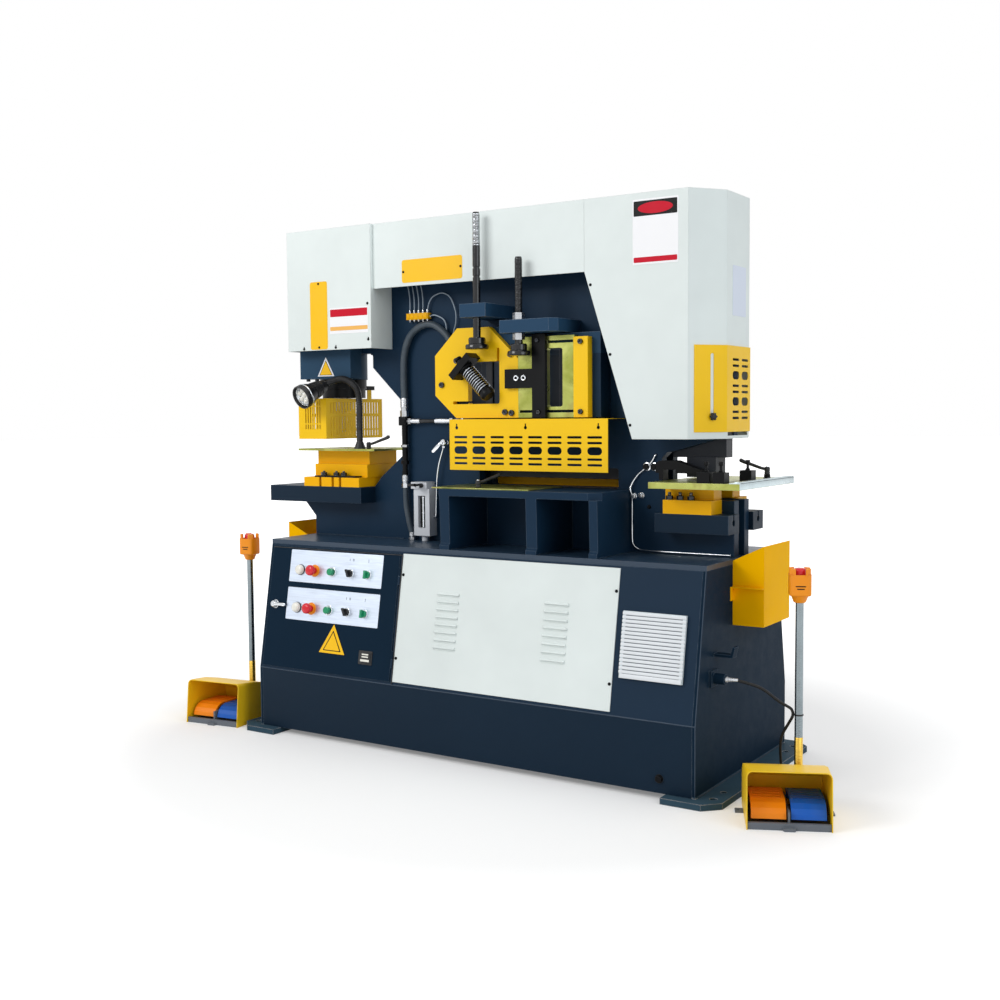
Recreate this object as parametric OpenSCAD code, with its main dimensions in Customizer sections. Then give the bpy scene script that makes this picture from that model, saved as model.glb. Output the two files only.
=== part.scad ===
// Hydraulic ironworker with five stations: punch, angle shear, bar shear, plate shear and notcher.
// Millimetres. X runs along the machine, the operator stands on the -Y side, the floor is Z = 0.
// Heights named "up" are measured from the base top.

/* [Base] */
// Length over the two end plates
base_l = 1800; // [1760:10:1900]
// Depth of the base at the floor
base_w = 776; // [740:4:840]
// Height of the base top above the floor
base_h = 727; // [680:1:800]
// Depth of the base top
top_w = 614; // [590:2:650]
// Height of the ledge above the oil tank
ledge_h = 242; // [210:2:270]
// Thickness of the end plates
end_t = 12; // [8:1:16]
// Thickness of the base top
top_t = 16; // [10:1:20]
// Thickness of the folded base sheets
sheet_t = 4; // [2:0.5:5]
// Thickness of the foot plates
foot_t = 20; // [12:1:30]
// How far a foot plate stands out past the end plate
foot_out = 85; // [80:1:110]
// Length of a foot plate front to back
foot_l = 860; // [850:10:920]
// Anchor hole diameter
anchor_d = 24; // [16:1:30]
// Distance between the anchor rows, front to back
anchor_pitch_y = 710; // [660:2:740]
// Distance of an anchor hole from the end plate
anchor_out = 45; // [35:1:55]

/* [Main frame] */
// Thickness of each main plate
plate_t = 36; // [28:1:40]
// Gap between the two main plates
frame_gap = 52; // [49:1:56]
// Height of the punch head top above the base top
head_up = 1123; // [1110:1:1140]
// Height of the rear frame top above the base top
rear_up = 1023; // [1000:1:1040]
// X of the back of the punch throat
throat_x = -451; // [-480:1:-430]
// X of the back of the notcher throat
notch_throat_x = 632; // [620:1:638]
// Running clearance of a shaft in its bore, on the radius
fit = 0.06; // [0.02:0.01:0.1]
// Clearance between sliding plates
slip = 0.3; // [0.2:0.05:0.6]

/* [Covers] */
// Height of the cover tops above the base top
cover_up = 1178; // [1160:1:1200]
// Distance of the main cover front from the middle plane
cover_front = 175; // [168:1:182]
// Distance of the cover backs from the middle plane
cover_back = 130; // [120:1:150]
// Thickness of the cover sheet
cover_t = 2; // [1:0.5:3]

/* [Punch] */
// X of the punch axis
punch_x = -788; // [-794:1:-780]
// Diameter of the punch ram
ram_d = 60; // [50:1:64]
// Diameter of the punch
punch_d = 25; // [10:1:32]
// Die clearance round the punch, on the radius
die_clear = 1; // [0.5:0.1:2]
// Height of the punching bolster top above the base top
bolster_up = 197; // [190:1:204]
// Thickness of both bolsters
bolster_h = 62; // [50:1:70]

/* [Shears] */
// Height of the shear table above the base top
table_up = 213; // [208:1:218]
// Thickness of the shear table
table_t = 25; // [20:1:30]
// Distance of the shear plates' front face from the middle plane
shear_front = 160; // [155:1:165]
// Thickness of the shear plates
shear_t = 25; // [18:1:30]
// Diameter of the clamp spindles
spindle_d = 27; // [20:1:30]
// Distance of the clamp spindles from the middle plane
spindle_y = 212; // [210:1:220]

/* [Notcher] */
// Width of the notching punch
notch_w = 103; // [90:1:110]
// Depth of the notching punch
notch_d = 80; // [60:1:90]
// Clearance between the notching punch and its die
notch_clear = 7; // [4:0.5:8]
// Thickness of the notcher table
notch_table_t = 20; // [12:1:24]

/* [Controls] */
// Diameter of the panel buttons
button_d = 22; // [16:0.5:24]
// Diameter of the stop mushrooms
stop_d = 40; // [30:1:44]
// Travel of a push button
button_travel = 4; // [2:0.5:5]
// Thickness of the door sheet
door_t = 3; // [1.5:0.5:4]

/* [Foot switches] */
// Width of a foot switch
pedal_box_w = 236; // [220:2:260]
// Depth of a foot switch
pedal_box_d = 230; // [200:2:250]
// Height of a foot switch guard
pedal_box_h = 168; // [150:1:180]
// Diameter of the stanchion tubes
pole_d = 25; // [18:1:32]
// Height of the stop boxes' underside above the floor
pole_h = 620; // [560:5:680]
// Diameter of the foot switch cable
cable_d = 9; // [6:0.5:12]

/* [Hidden] */
$fn = 40;

half_l = base_l / 2;
half_w = base_w / 2;
half_top = top_w / 2;
frame_y = frame_gap / 2 + plate_t;
wall_top = base_h - top_t;
lean = atan((half_w - half_top) / (wall_top - ledge_h));
slope_l = norm([half_w - half_top, wall_top - ledge_h]);

navy = [0.16, 0.22, 0.3];
navy_top = [0.2, 0.29, 0.38];
cream = [0.91, 0.93, 0.91];
yellow = [0.99, 0.79, 0.03];
die_yellow = [0.93, 0.63, 0.05];
zinc = [0.66, 0.7, 0.42];
black = [0.08, 0.08, 0.09];
steel = [0.72, 0.73, 0.75];
orange = [0.98, 0.6, 0.05];
red = [0.85, 0.12, 0.18];
green = [0.05, 0.55, 0.38];
blue = [0.05, 0.35, 0.75];
grey = [0.45, 0.47, 0.5];

// ---- helpers -------------------------------------------------------------

function up(h) = base_h + h;
function arc_pts(c, r, a, b, n = 5) =
    [for (i = [0:n]) [c[0] + r * cos(a + (b - a) * i / n), c[1] + r * sin(a + (b - a) * i / n)]];
function round_rect(w, h, r) =
    concat(arc_pts([w / 2 - r, h / 2 - r], r, 0, 90), arc_pts([r - w / 2, h / 2 - r], r, 90, 180),
           arc_pts([r - w / 2, r - h / 2], r, 180, 270), arc_pts([w / 2 - r, r - h / 2], r, 270, 360));
function stadium(l, d) =
    concat(arc_pts([l / 2 - d / 2, 0], d / 2, -90, 90, 8), arc_pts([d / 2 - l / 2, 0], d / 2, 90, 270, 8));
function unit(v) = v / norm(v);
function blend_point(a, b, c, d, t) =
    0.5 * (2 * b + (c - a) * t + (2 * a - 5 * b + 4 * c - d) * t * t + (3 * b - a - 3 * c + d) * t * t * t);
// A smooth route through the given points, with k steps from each to the next
function smooth_route(p, k) =
    concat([for (i = [0:len(p) - 2], j = [0:k - 1])
                blend_point(p[max(i - 1, 0)], p[i], p[i + 1], p[min(i + 2, len(p) - 1)], j / k)],
           [p[len(p) - 1]]);
function tangents(p) = [for (i = [0:len(p) - 1]) unit(p[min(i + 1, len(p) - 1)] - p[max(i - 1, 0)])];
function carried(t, n, i = 0, out = []) =
    i == len(t) ? out : let (m = unit(n - (n * t[i]) * t[i])) carried(t, m, i + 1, concat(out, [m]));

module tube_along(p, d, sides = 8) {
    t = tangents(p);
    side = abs(t[0][1]) < 0.9 ? [0, 1, 0] : [1, 0, 0];
    n = carried(t, side);
    rings = len(p);
    pts = [for (i = [0:rings - 1], j = [0:sides - 1])
               p[i] + d / 2 * (cos(360 * j / sides) * n[i] + sin(360 * j / sides) * cross(t[i], n[i]))];
    walls = [for (i = [0:rings - 2], j = [0:sides - 1], half = [0, 1])
                 let (a = i * sides + j, b = i * sides + (j + 1) % sides)
                     half == 0 ? [a, a + sides, b + sides] : [a, b + sides, b]];
    ends = [[for (j = [0:sides - 1]) j], [for (j = [sides - 1:-1:0]) (rings - 1) * sides + j]];
    polyhedron(pts, concat(ends, walls), convexity = 10);
}

// A plate in the XZ plane, from y0 to y0 + t
module plate_xz(pts, y0, t) {
    translate([0, y0 + t, 0]) rotate([90, 0, 0]) linear_extrude(t) polygon(pts);
}
// A plate in the YZ plane, from x0 to x0 + t
module plate_yz(pts, x0, t) {
    translate([x0, 0, 0]) rotate([90, 0, 90]) linear_extrude(t) polygon(pts);
}
module box(x0, x1, y0, y1, z0, z1) {
    translate([x0, y0, z0]) cube([x1 - x0, y1 - y0, z1 - z0]);
}
// Children laid on the sloping front: x along the machine, y up the slope, z outward
module on_front() {
    translate([0, -half_w, ledge_h]) rotate([90 - lean, 0, 0]) children();
}
module on_rear() {
    rotate([0, 0, 180]) on_front() children();
}
// A cylinder pointing to the operator from y1 to y0
module pin_y(x, z, y0, y1, d) {
    translate([x, y1, z]) rotate([90, 0, 0]) cylinder(d = d, h = y1 - y0);
}
// A six sided bolt head pointing to the operator, with its shank end at y1
module hex_y(x, z, y0, y1, d) {
    translate([x, y1, z]) rotate([90, 0, 0]) cylinder(d = d, h = y1 - y0, $fn = 6);
}

// ---- base ----------------------------------------------------------------

end_outline = [[-half_w, foot_t], [half_w, foot_t], [half_w, ledge_h], [half_top, wall_top],
               [-half_top, wall_top], [-half_w, ledge_h]];
foot_in = 100;
foot_corner = 50;
level_hole_d = 20;
level_inset = 80;
hook_z = base_h - 290;
socket_z = 372;
socket_y = -262;
socket_d = 34;

module end_frame() {
    difference() {
        union() {
            plate_yz(end_outline, half_l - end_t, end_t);
            linear_extrude(foot_t)
                polygon([[half_l - foot_in, -foot_l / 2], [half_l + foot_out - foot_corner, -foot_l / 2],
                         [half_l + foot_out, foot_corner - foot_l / 2], [half_l + foot_out, foot_l / 2 - foot_corner],
                         [half_l + foot_out - foot_corner, foot_l / 2], [half_l - foot_in, foot_l / 2]]);
            // cable hook: a flat bar with an upturned end
            plate_xz([[half_l - 1, hook_z], [half_l + 62, hook_z], [half_l + 70, hook_z + 34],
                      [half_l + 62, hook_z + 36], [half_l + 55, hook_z + 10], [half_l - 1, hook_z + 10]],
                     -250, 30);
        }
        for (s = [-1, 1]) {
            translate([half_l + anchor_out, s * anchor_pitch_y / 2, -1]) cylinder(d = anchor_d, h = foot_t + 2);
            translate([half_l + anchor_out, s * (anchor_pitch_y / 2 - level_inset), -1])
                cylinder(d = level_hole_d, h = foot_t + 2);
        }
    }
}

module end_frames() {
    color(navy) {
        difference() {
            end_frame();
            translate([half_l - end_t - 1, socket_y, socket_z]) rotate([0, 90, 0]) cylinder(d = 22, h = end_t + 2);
        }
        // cable socket on the right end, with a square flange
        difference() {
            union() {
                translate([half_l + 4, socket_y, socket_z]) cube([8, 52, 52], center = true);
                translate([half_l, socket_y, socket_z]) rotate([0, 90, 0]) cylinder(d = socket_d, h = 46);
            }
            translate([half_l - 1, socket_y, socket_z]) rotate([0, 90, 0]) cylinder(d = 22, h = 30);
        }
        mirror([1, 0, 0]) end_frame();
    }
}

tank_wall = 5;
hatch_x = 300;
drain_x = half_l - 121;
drain_z = 66;

module oil_tank() {
    inner_l = half_l - end_t;
    color(navy) difference() {
        box(-inner_l, inner_l, -half_w, half_w, foot_t, ledge_h);
        box(tank_wall - inner_l, inner_l - tank_wall, tank_wall - half_w, half_w - tank_wall,
            foot_t + tank_wall, ledge_h - tank_wall);
        translate([hatch_x, 0, ledge_h - tank_wall / 2]) cube([200, 140, 4 * tank_wall], center = true);
        pin_y(drain_x, drain_z, -half_w - 1, tank_wall - half_w + 1, 27);
    }
}

module base_top() {
    color(navy_top) difference() {
        box(-half_l, half_l, -half_top, half_top, wall_top, base_h);
        // cable pass under the frame
        translate([-480, 0, base_h]) cylinder(d = 40, h = 4 * top_t, center = true);
    }
}

// Openings in the front sheet: [x0, x1, y0, y1] on the slope
inner_half = half_l - end_t;
// The leaning sheet is cut back at its foot to clear the tank
sheet_foot = sheet_t * tan(lean);
door_open = [-inner_half + 12, -285, 22, slope_l - 18];
access_open = [-245, 585, 30, slope_l - 24];
vent_open = [645, 836, 133, 325];

module sheet_with(openings) {
    difference() {
        translate([-inner_half, sheet_foot, -sheet_t]) cube([2 * inner_half, slope_l - sheet_foot, sheet_t]);
        for (o = openings)
            translate([o[0], o[2], -2 * sheet_t]) cube([o[1] - o[0], o[3] - o[2], 4 * sheet_t]);
    }
}

hinge_x = -271;
hinge_w = 5;
hinge_r = 4.2;
hinge_pin_r = 2;
knuckle_l = 30;
hinge_at = [60, slope_l - 60 - 2 * knuckle_l];

module knuckle(y0) {
    translate([hinge_x, y0, hinge_w]) rotate([-90, 0, 0]) cylinder(r = hinge_r, h = knuckle_l);
}

module front_frame() {
    color(navy) on_front() difference() {
        union() {
            sheet_with([door_open, access_open, vent_open]);
            for (y = hinge_at) {
                knuckle(y);
                translate([hinge_x - 1.5, y, -1]) cube([3, knuckle_l, hinge_w + 1]);
            }
        }
        for (y = hinge_at)
            translate([hinge_x, y - 1, hinge_w]) rotate([-90, 0, 0])
                cylinder(r = hinge_pin_r + fit, h = knuckle_l + 2, $fn = 24);
    }
}

module louvre_slots(x, y, n, pitch, w, h, t) {
    for (i = [0:n - 1]) translate([x, y + i * pitch, -2 * t]) cube([w, h, 4 * t]);
}

module rear_sheet() {
    color(navy) on_rear() difference() {
        sheet_with([]);
        for (x = [-640, -280, 160, 520]) louvre_slots(x, 150, 8, 24, 110, 7, sheet_t);
    }
}

access_edge = [-263, 606, 12, slope_l - 8];
louvre_w = 90;
louvre_n = 8;
louvre_pitch = 26.5;
louvre_at = [-96, 339];
louvre_y = 148;
grille_x = [633, 848];
grille_y = [123, 335];
slat_n = 16;
grille_t = 12;

// Pressed hood over one louvre slot
module hood() {
    rotate([90, 0, 90]) linear_extrude(louvre_w) polygon([[-1, 0], [1, 7], [3, 7], [9, 0]]);
}

module front_panels() {
    color(cream) on_front() {
        difference() {
            translate([access_edge[0], access_edge[2], 0])
                cube([access_edge[1] - access_edge[0], access_edge[3] - access_edge[2], 3]);
            for (x = louvre_at) louvre_slots(x, louvre_y - 6, louvre_n, louvre_pitch, louvre_w, 5, 3);
        }
        for (x = louvre_at, i = [0:louvre_n - 1]) translate([x, louvre_y + i * louvre_pitch, 2.9]) hood();
        // slatted air inlet
        difference() {
            translate([grille_x[0], grille_y[0], 0])
                cube([grille_x[1] - grille_x[0], grille_y[1] - grille_y[0], grille_t]);
            translate([grille_x[0] + 10, grille_y[0] + 8, -1])
                cube([grille_x[1] - grille_x[0] - 20, grille_y[1] - grille_y[0] - 16, grille_t + 2]);
        }
        pitch = (grille_y[1] - grille_y[0] - 16) / slat_n;
        for (i = [0:slat_n - 1])
            translate([grille_x[0] + 9.5, grille_y[0] + 8 + (i + 0.2) * pitch, 0]) rotate([90, 0, 90])
                linear_extrude(grille_x[1] - grille_x[0] - 19)
                    polygon([[0, grille_t], [2, grille_t], [8, 2], [6, 2]]);
    }
}

module motor_pump() {
    color(steel) {
        // pump, cover plate, bell housing and motor on one vertical axis
        translate([hatch_x, 0, 0]) {
            box(-130, 130, -95, 95, ledge_h, ledge_h + 10);
            translate([0, 0, foot_t + tank_wall + 40]) cylinder(d = 100, h = ledge_h - foot_t - tank_wall - 40);
            translate([0, 0, ledge_h + 9]) cylinder(d = 160, h = 91);
            difference() {
                translate([0, 0, ledge_h + 100]) cylinder(d = 196, h = 270);
                for (a = [0:15:345]) rotate(a) translate([91, -2.5, ledge_h + 120]) cube([20, 5, 190]);
            }
            translate([60, -45, ledge_h + 180]) cube([90, 90, 90]);
        }
        // valve block with four solenoids
        translate([hatch_x - 320, 0, ledge_h]) {
            translate([0, 0, 35]) cube([150, 110, 70], center = true);
            for (x = [-45, 45], y = [-1, 1]) {
                translate([x, 0, 95]) cube([48, 110, 50], center = true);
                translate([x, y * 55, 95]) rotate([-90 * y, 0, 0]) cylinder(d = 42, h = 62);
            }
        }
    }
}

module electric_plate() {
    color(steel) translate([0, -110, ledge_h]) {
        difference() {
            box(-850, -310, 0, 4, 0, 420);
            for (x = [-840, -330]) translate([x, -1, 380]) cube([10, 6, 20]);
        }
        for (z = [60, 190, 320]) box(-830, -330, -8, 0.5, z, z + 35);
        for (i = [0:5]) box(-820 + i * 62, -820 + i * 62 + 48, -85, -7.5, 300 - 25, 300 + 75);
        for (i = [0:3]) box(-815 + i * 95, -815 + i * 95 + 75, -70, -7.5, 165, 245);
        for (i = [0:19]) box(-820 + i * 22, -820 + i * 22 + 18, -50, -7.5, 45, 105);
    }
}

// ---- main frame ----------------------------------------------------------

arm_up = bolster_up - bolster_h;
notch_arm_up = 143;
notch_seat_up = 185;
cyl_x = 605;
pocket = 105;
cyl_seat_up = 833;
step_x = -588;
frame_end = half_l - 11;

frame_outline = concat(
    [[8 - half_l, up(0)], [8 - half_l, up(arm_up - 62)], [-50 - half_l, up(arm_up)], [step_x, up(arm_up)],
     [step_x, up(bolster_up)], [step_x + 35, up(bolster_up + 39)], [throat_x, up(318)], [throat_x, up(523)],
     [-589, up(654)]],
    arc_pts([-603, up(695)], 14, 0, 90),
    [[-670, up(709)], [-670, up(head_up)], [-300, up(head_up)], [-200, up(rear_up)],
     [cyl_x - pocket, up(rear_up)], [cyl_x - pocket, up(cyl_seat_up)], [cyl_x + pocket, up(cyl_seat_up)],
     [cyl_x + pocket, up(rear_up)], [850, up(rear_up)], [850, up(392)], [notch_throat_x + 58, up(347)],
     [notch_throat_x + 20, up(340)], [notch_throat_x, up(320)], [notch_throat_x, up(223)], [notch_throat_x + 34, up(notch_seat_up)],
     [frame_end, up(notch_seat_up)], [frame_end, up(0)]]);

angle_window = [-80, 53, 508, 657];
bar_window = [244, 308, 495, 694];
mouth = [-100, 470, table_up, table_up + 70];

module window(w, grow = 0) {
    x0 = w[0] - grow;
    x1 = w[1] + grow;
    z0 = up(w[2] - grow);
    z1 = up(w[3] + grow);
    translate([(x0 + x1) / 2, 0, (z0 + z1) / 2]) rotate([90, 0, 0])
        linear_extrude(600, center = true) polygon(round_rect(x1 - x0, z1 - z0, 8));
}

module frame_plate(y0) {
    difference() {
        plate_xz(frame_outline, y0, plate_t);
        window(angle_window, 10);
        window(bar_window, 8);
        window(mouth);
    }
}

module frame_plate_front() {
    color(navy) difference() {
        frame_plate(-frame_y);
        // tapped holes for the lube fittings
        for (x = [503, 532]) pin_y(x, up(191), -frame_y - 1, -frame_y + 20, 12);
    }
}

module frame_plate_back() {
    color(navy) {
        frame_plate(frame_gap / 2);
        // spacers welded between the plates
        box(-480, -130, -frame_gap / 2, frame_gap / 2, up(13), up(913));
        box(-130, notch_throat_x - 20, -frame_gap / 2, frame_gap / 2, up(13), up(table_up - 30));
    }
}

bracket_1 = [-59, 49, 808, 855];
bracket_2 = [106, 325, 747, 791];
spindle_1_x = -5;
spindle_2_x = 167;
sub_left = -225;
sub_right = 441;
shear_low = 458;

module frame_brackets() {
    color(navy) {
        // thick pad that carries the shear plates
        difference() {
            plate_xz([[sub_left, up(540)], [-132, up(shear_low)], [sub_right, up(shear_low)], [sub_right, up(745)],
                      [131, up(745)], [100, up(778)], [-126, up(778)], [sub_left, up(683)]],
                     shear_t - shear_front, shear_front - shear_t - frame_y);
            window(angle_window, 6);
            window(bar_window, 4);
        }
        // bars that guide the clamp spindles
        difference() {
            union() {
                box(bracket_1[0], bracket_1[1], -spindle_y - 28, -frame_y, up(bracket_1[2]), up(bracket_1[3]));
                linear_extrude_at(up(bracket_2[2]), bracket_2[3] - bracket_2[2])
                    polygon([[bracket_2[0], -frame_y], [bracket_2[0], -spindle_y - 28],
                             [bracket_2[1] - 24, -spindle_y - 28], [bracket_2[1], -spindle_y - 4],
                             [bracket_2[1], -frame_y]]);
            }
            for (x = [spindle_1_x, spindle_2_x])
                translate([x, -spindle_y, up(700)]) cylinder(r = spindle_d / 2 + fit, h = 200);
        }
        // gussets under the shear table
        for (x = [[-108, -68], [246, 288], [487, 518]])
            plate_yz([[-frame_y, up(0)], [-half_top, up(0)], [-half_top, up(14)], [-half_top + 8, up(22)],
                      [-half_top + 2, up(table_up - table_t)], [-frame_y, up(table_up - table_t)]],
                     x[0], x[1] - x[0]);
        // table of the plate shear
        linear_extrude_at(up(table_up - table_t), table_t)
            polygon([[-110, -frame_y], [-110, 2 - half_top], [483, 2 - half_top], [518, 37 - half_top],
                     [518, -frame_y]]);
        // studs that carry the covers
        for (p = [[-560, 873, left_front], [-100, 993, cover_front], [300, 993, cover_front],
                  [530, 700, cover_front], [760, 773, cover_front], [760, 473, cover_front]])
            box(p[0] - 14, p[0] + 14, cover_t - p[2], -frame_y, up(p[1] - 14), up(p[1] + 14));
    }
}

module linear_extrude_at(z, h) {
    translate([0, 0, z]) linear_extrude(h) children();
}

// ---- covers --------------------------------------------------------------

left_front = cover_front + 15;
left_x = [-905, -493];
left_low = 721;
seam_x = 402;
upper_low = 940;
right_x = 776;
side_x = 860;
chamfer_y = cover_front - 113;
right_low = 385;
diagonal_x = 578;
chamfer_angle = atan2(cover_front - chamfer_y, side_x - right_x);
chamfer_l = norm([side_x - right_x, cover_front - chamfer_y]);

module left_cover() {
    color(cream) difference() {
        box(left_x[0], left_x[1] - slip, -left_front, cover_back, up(left_low), up(cover_up));
        box(left_x[0] + cover_t, left_x[1] - slip - cover_t, cover_t - left_front, cover_back - cover_t,
            up(left_low) - 1, up(cover_up) - cover_t);
        // slot in the inner wall for the main plates
        box(left_x[1] - 20, left_x[1] + 20, -frame_y - 1, frame_y + 1, up(left_low) - 1, up(cover_up) - 30);
        for (p = [[-824, 724 + 10], [-665, 736], [-509, 887], [-507, 760]])
            pin_y(p[0], up(p[1]), -left_front - 5, 0 - left_front + 10, 6);
    }
}

module upper_cover() {
    color(cream) difference() {
        box(left_x[1], seam_x - slip, -cover_front, cover_back, up(upper_low), up(cover_up));
        box(left_x[1] - 1, seam_x + 1, cover_t - cover_front, cover_back - cover_t,
            up(upper_low) - 1, up(cover_up) - cover_t);
    }
}

module right_profile(grow_t) {
    plate_xz([[seam_x - (grow_t > 0 ? 10 : 0), up(cover_up) - grow_t],
              [seam_x - (grow_t > 0 ? 10 : 0), up(upper_low) - 5 * grow_t],
              [diagonal_x - 3 * grow_t, up(right_low) - 9 * grow_t], [side_x + 20, up(right_low) - 9 * grow_t],
              [side_x + 20, up(cover_up) - grow_t]], -300, 600);
}

module right_plan(t) {
    linear_extrude(2400)
        polygon([[seam_x - 20, t - cover_front], [right_x - t * 0.5, t - cover_front],
                 [side_x - t, -chamfer_y + t * 0.5], [side_x - t, cover_back - t], [seam_x - 20, cover_back - t]]);
}

side_window = [-50, 118, 395, 670];

module right_cover() {
    color(cream) difference() {
        intersection() {
            right_profile(0);
            right_plan(0);
        }
        intersection() {
            right_profile(cover_t);
            right_plan(cover_t);
        }
        // opening behind the sliding guard
        box(side_x - 10, side_x + 10, side_window[0], side_window[1], up(side_window[2]), up(side_window[3]));
    }
}

// Children laid on the chamfer of the right cover: x along it, -y outward
module on_chamfer() {
    translate([right_x, -cover_front, 0]) rotate([0, 0, chamfer_angle]) children();
}

knob_at = 0.62;
knob_up = 457;
knob_stud_d = 6;
knob_stud_l = 12;
guard_low = 407;
guard_high = 686;
guard_t = 2;
guard_off = 0.4;
guard_slot_up = 660;

// The corner of the chamfer and the side, d outside the cover
function guard_corner(d) =
    let (s = (side_x - right_x + d * (1 - sin(chamfer_angle))) / cos(chamfer_angle))
        [side_x + d, s * sin(chamfer_angle) - d * cos(chamfer_angle) - cover_front];
// A point along the chamfer, d outside the cover
function chamfer_point(s, d) =
    [right_x + s * cos(chamfer_angle) + d * sin(chamfer_angle),
     s * sin(chamfer_angle) - d * cos(chamfer_angle) - cover_front];

module notch_guard() {
    outer = guard_off + guard_t;
    color(yellow) difference() {
        linear_extrude_at(up(guard_low), guard_high - guard_low)
            polygon([chamfer_point(22, guard_off), chamfer_point(22, outer), guard_corner(outer),
                     [side_x + outer, cover_back + 6], [side_x + guard_off, cover_back + 6], guard_corner(guard_off)]);
        // slot for the knob
        on_chamfer() translate([chamfer_l * knob_at, 0, (up(knob_up - 6) + up(guard_slot_up)) / 2]) rotate([90, 90, 0])
            linear_extrude(20, center = true) polygon(stadium(guard_slot_up - knob_up + 6, 12));
        // sight holes, small and large in turn
        for (y = [12, 12 + slot_pitch], row = [[45, 8], [65, 8], [99, 27], [130, 8], [150, 8], [184, 27], [215, 8], [235, 8]])
            translate([side_x, y, up(guard_low + row[0])]) rotate([90, 0, 90])
                linear_extrude(20, center = true) polygon(stadium(slot_l, row[1]));
    }
}

module guard_knob() {
    color(black) on_chamfer() {
        x = chamfer_l * knob_at;
        z = up(knob_up);
        translate([x, -guard_off - guard_t - 2 * slip, z]) rotate([90, 0, 0]) difference() {
            union() {
                cylinder(d = 20, h = 16);
                for (a = [0:60:300]) rotate(a) translate([9, 0, 0]) cylinder(d = 9, h = 12, $fn = 20);
            }
            translate([0, 0, -1]) cylinder(r = knob_stud_d / 2 + fit, h = knob_stud_l);
        }
    }
}

// ---- punch ---------------------------------------------------------------

ram_up = 488;
nut_d = 72;
nut_h = 40;
nut_gap = 13;
collar_low = ram_up + nut_h + nut_gap;
collar_h = 72;
head_low = collar_low + collar_h;
head_d = 188;
head_block = [-900, -645];
head_block_y = 130;
head_block_h = 278;
head_h = 490;
die_top = 336;
table_plate_t = 8;

module punch_head() {
    color(navy) difference() {
        union() {
            translate([punch_x, 0, up(head_low)]) cylinder(d = head_d, h = head_h);
            box(head_block[0], head_block[1], -head_block_y, -frame_y, up(head_low + 2), up(head_low + 2 + head_block_h));
            box(punch_x + 60, -560, -frame_gap / 2, frame_gap / 2, up(head_low + 105), up(head_low + 470));
        }
        translate([punch_x, 0, up(head_low) - 1]) cylinder(r = ram_d / 2 + fit, h = 330);
    }
}

module punch_ram() {
    color(steel) {
        translate([punch_x, 0, up(ram_up + nut_h - 1)]) cylinder(d = ram_d, h = 250);
        translate([punch_x, 0, up(ram_up)]) cylinder(d = nut_d, h = nut_h);
        translate([punch_x, 0, up(ram_up - 80)]) cylinder(d = punch_d, h = 81);
    }
}

module bolsters() {
    color(navy_top) {
        box(-1052, step_x, -150, 150, up(arm_up), up(bolster_up));
        for (s = [0, 1]) mirror([0, s, 0]) difference() {
            box(648, 905, -150, -frame_y, up(notch_arm_up - bolster_h), up(notch_arm_up));
            // T-slot end
            translate([870, -106, up(notch_arm_up - 26)]) rotate([0, 90, 0]) cylinder(d = 22, h = 40);
            box(870, 910, -111, -101, up(notch_arm_up - 26), up(notch_arm_up) + 1);
        }
    }
}

notch_die = [668, 838];
notch_punch_x = 763.5;

flange_up = bolster_up + 36;
stud_x = [-790, -727, -690];
stud_y = -126;

module die_holders() {
    color(die_yellow) {
        difference() {
            union() {
                box(-873, -596, -150, 150, up(bolster_up), up(flange_up));
                box(-853, -590, -105, 105, up(flange_up), up(flange_up + 50));
                box(-855, -595, -85, 85, up(flange_up + 50), up(die_top));
            }
            translate([punch_x, 0, up(bolster_up + 50)]) cylinder(r = punch_d / 2 + die_clear, h = 200);
            // slots for the clamp studs
            for (x = stud_x) box(x - 6, x + 6, -151, stud_y + 7, up(bolster_up) - 1, up(flange_up) + 1);
        }
        // notcher die: two rails and the die block with its throat
        for (s = [0, 1]) mirror([0, s, 0])
            box(677, 847, -150, -60 - 5, up(notch_arm_up), up(188));
        difference() {
            box(notch_die[0], notch_die[1], -110, 110, up(188), up(230));
            box(notch_punch_x - notch_w / 2 - notch_clear, notch_die[1] + 1, -notch_d / 2 - notch_clear,
                notch_d / 2 + notch_clear, up(187), up(231));
        }
    }
}

module work_tables() {
    color(zinc) {
        difference() {
            box(-900, -520, -150, 150, up(die_top), up(die_top + table_plate_t));
            translate([punch_x, 0, up(die_top) - 1]) cylinder(d = 60, h = table_plate_t + 2);
        }
        box(-150, 250, -292, -64, up(table_up), up(table_up + 4));
        difference() {
            box(673, 982, -250, 230, up(230), up(230 + notch_table_t));
            box(notch_punch_x - notch_w / 2 - notch_clear, notch_punch_x + notch_w / 2 + notch_clear,
                -notch_d / 2 - notch_clear, notch_d / 2 + notch_clear, up(229), up(231 + notch_table_t));
            // slot for the stops
            translate([905, 0, up(230)]) linear_extrude(60) polygon([[-5, -225], [5, -225], [5, -70], [-5, -70]]);
        }
    }
}

// the cage ends just under the collar, and hangs on an arm behind it
cage_gap = 3;
cage = [-868, -728, 382, collar_low - cage_gap];
cage_front = 180;
cage_back = 165;
cage_t = 2;
cage_strap = [72, 98];
cage_arm = [collar_low + 32, collar_low + 48];

module cage_slots(n, pitch, rows) {
    for (i = [0:n - 1], z = rows)
        translate([(i - (n - 1) / 2) * pitch, 0, up(cage[2] + z[0])]) cube([5, 20, z[1] - z[0]]);
}

guard_x = [-143, 496];
guard_y = 188;
guard_up = [274, 454];
slot_pitch = 77.3;
slot_l = 56;

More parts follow.
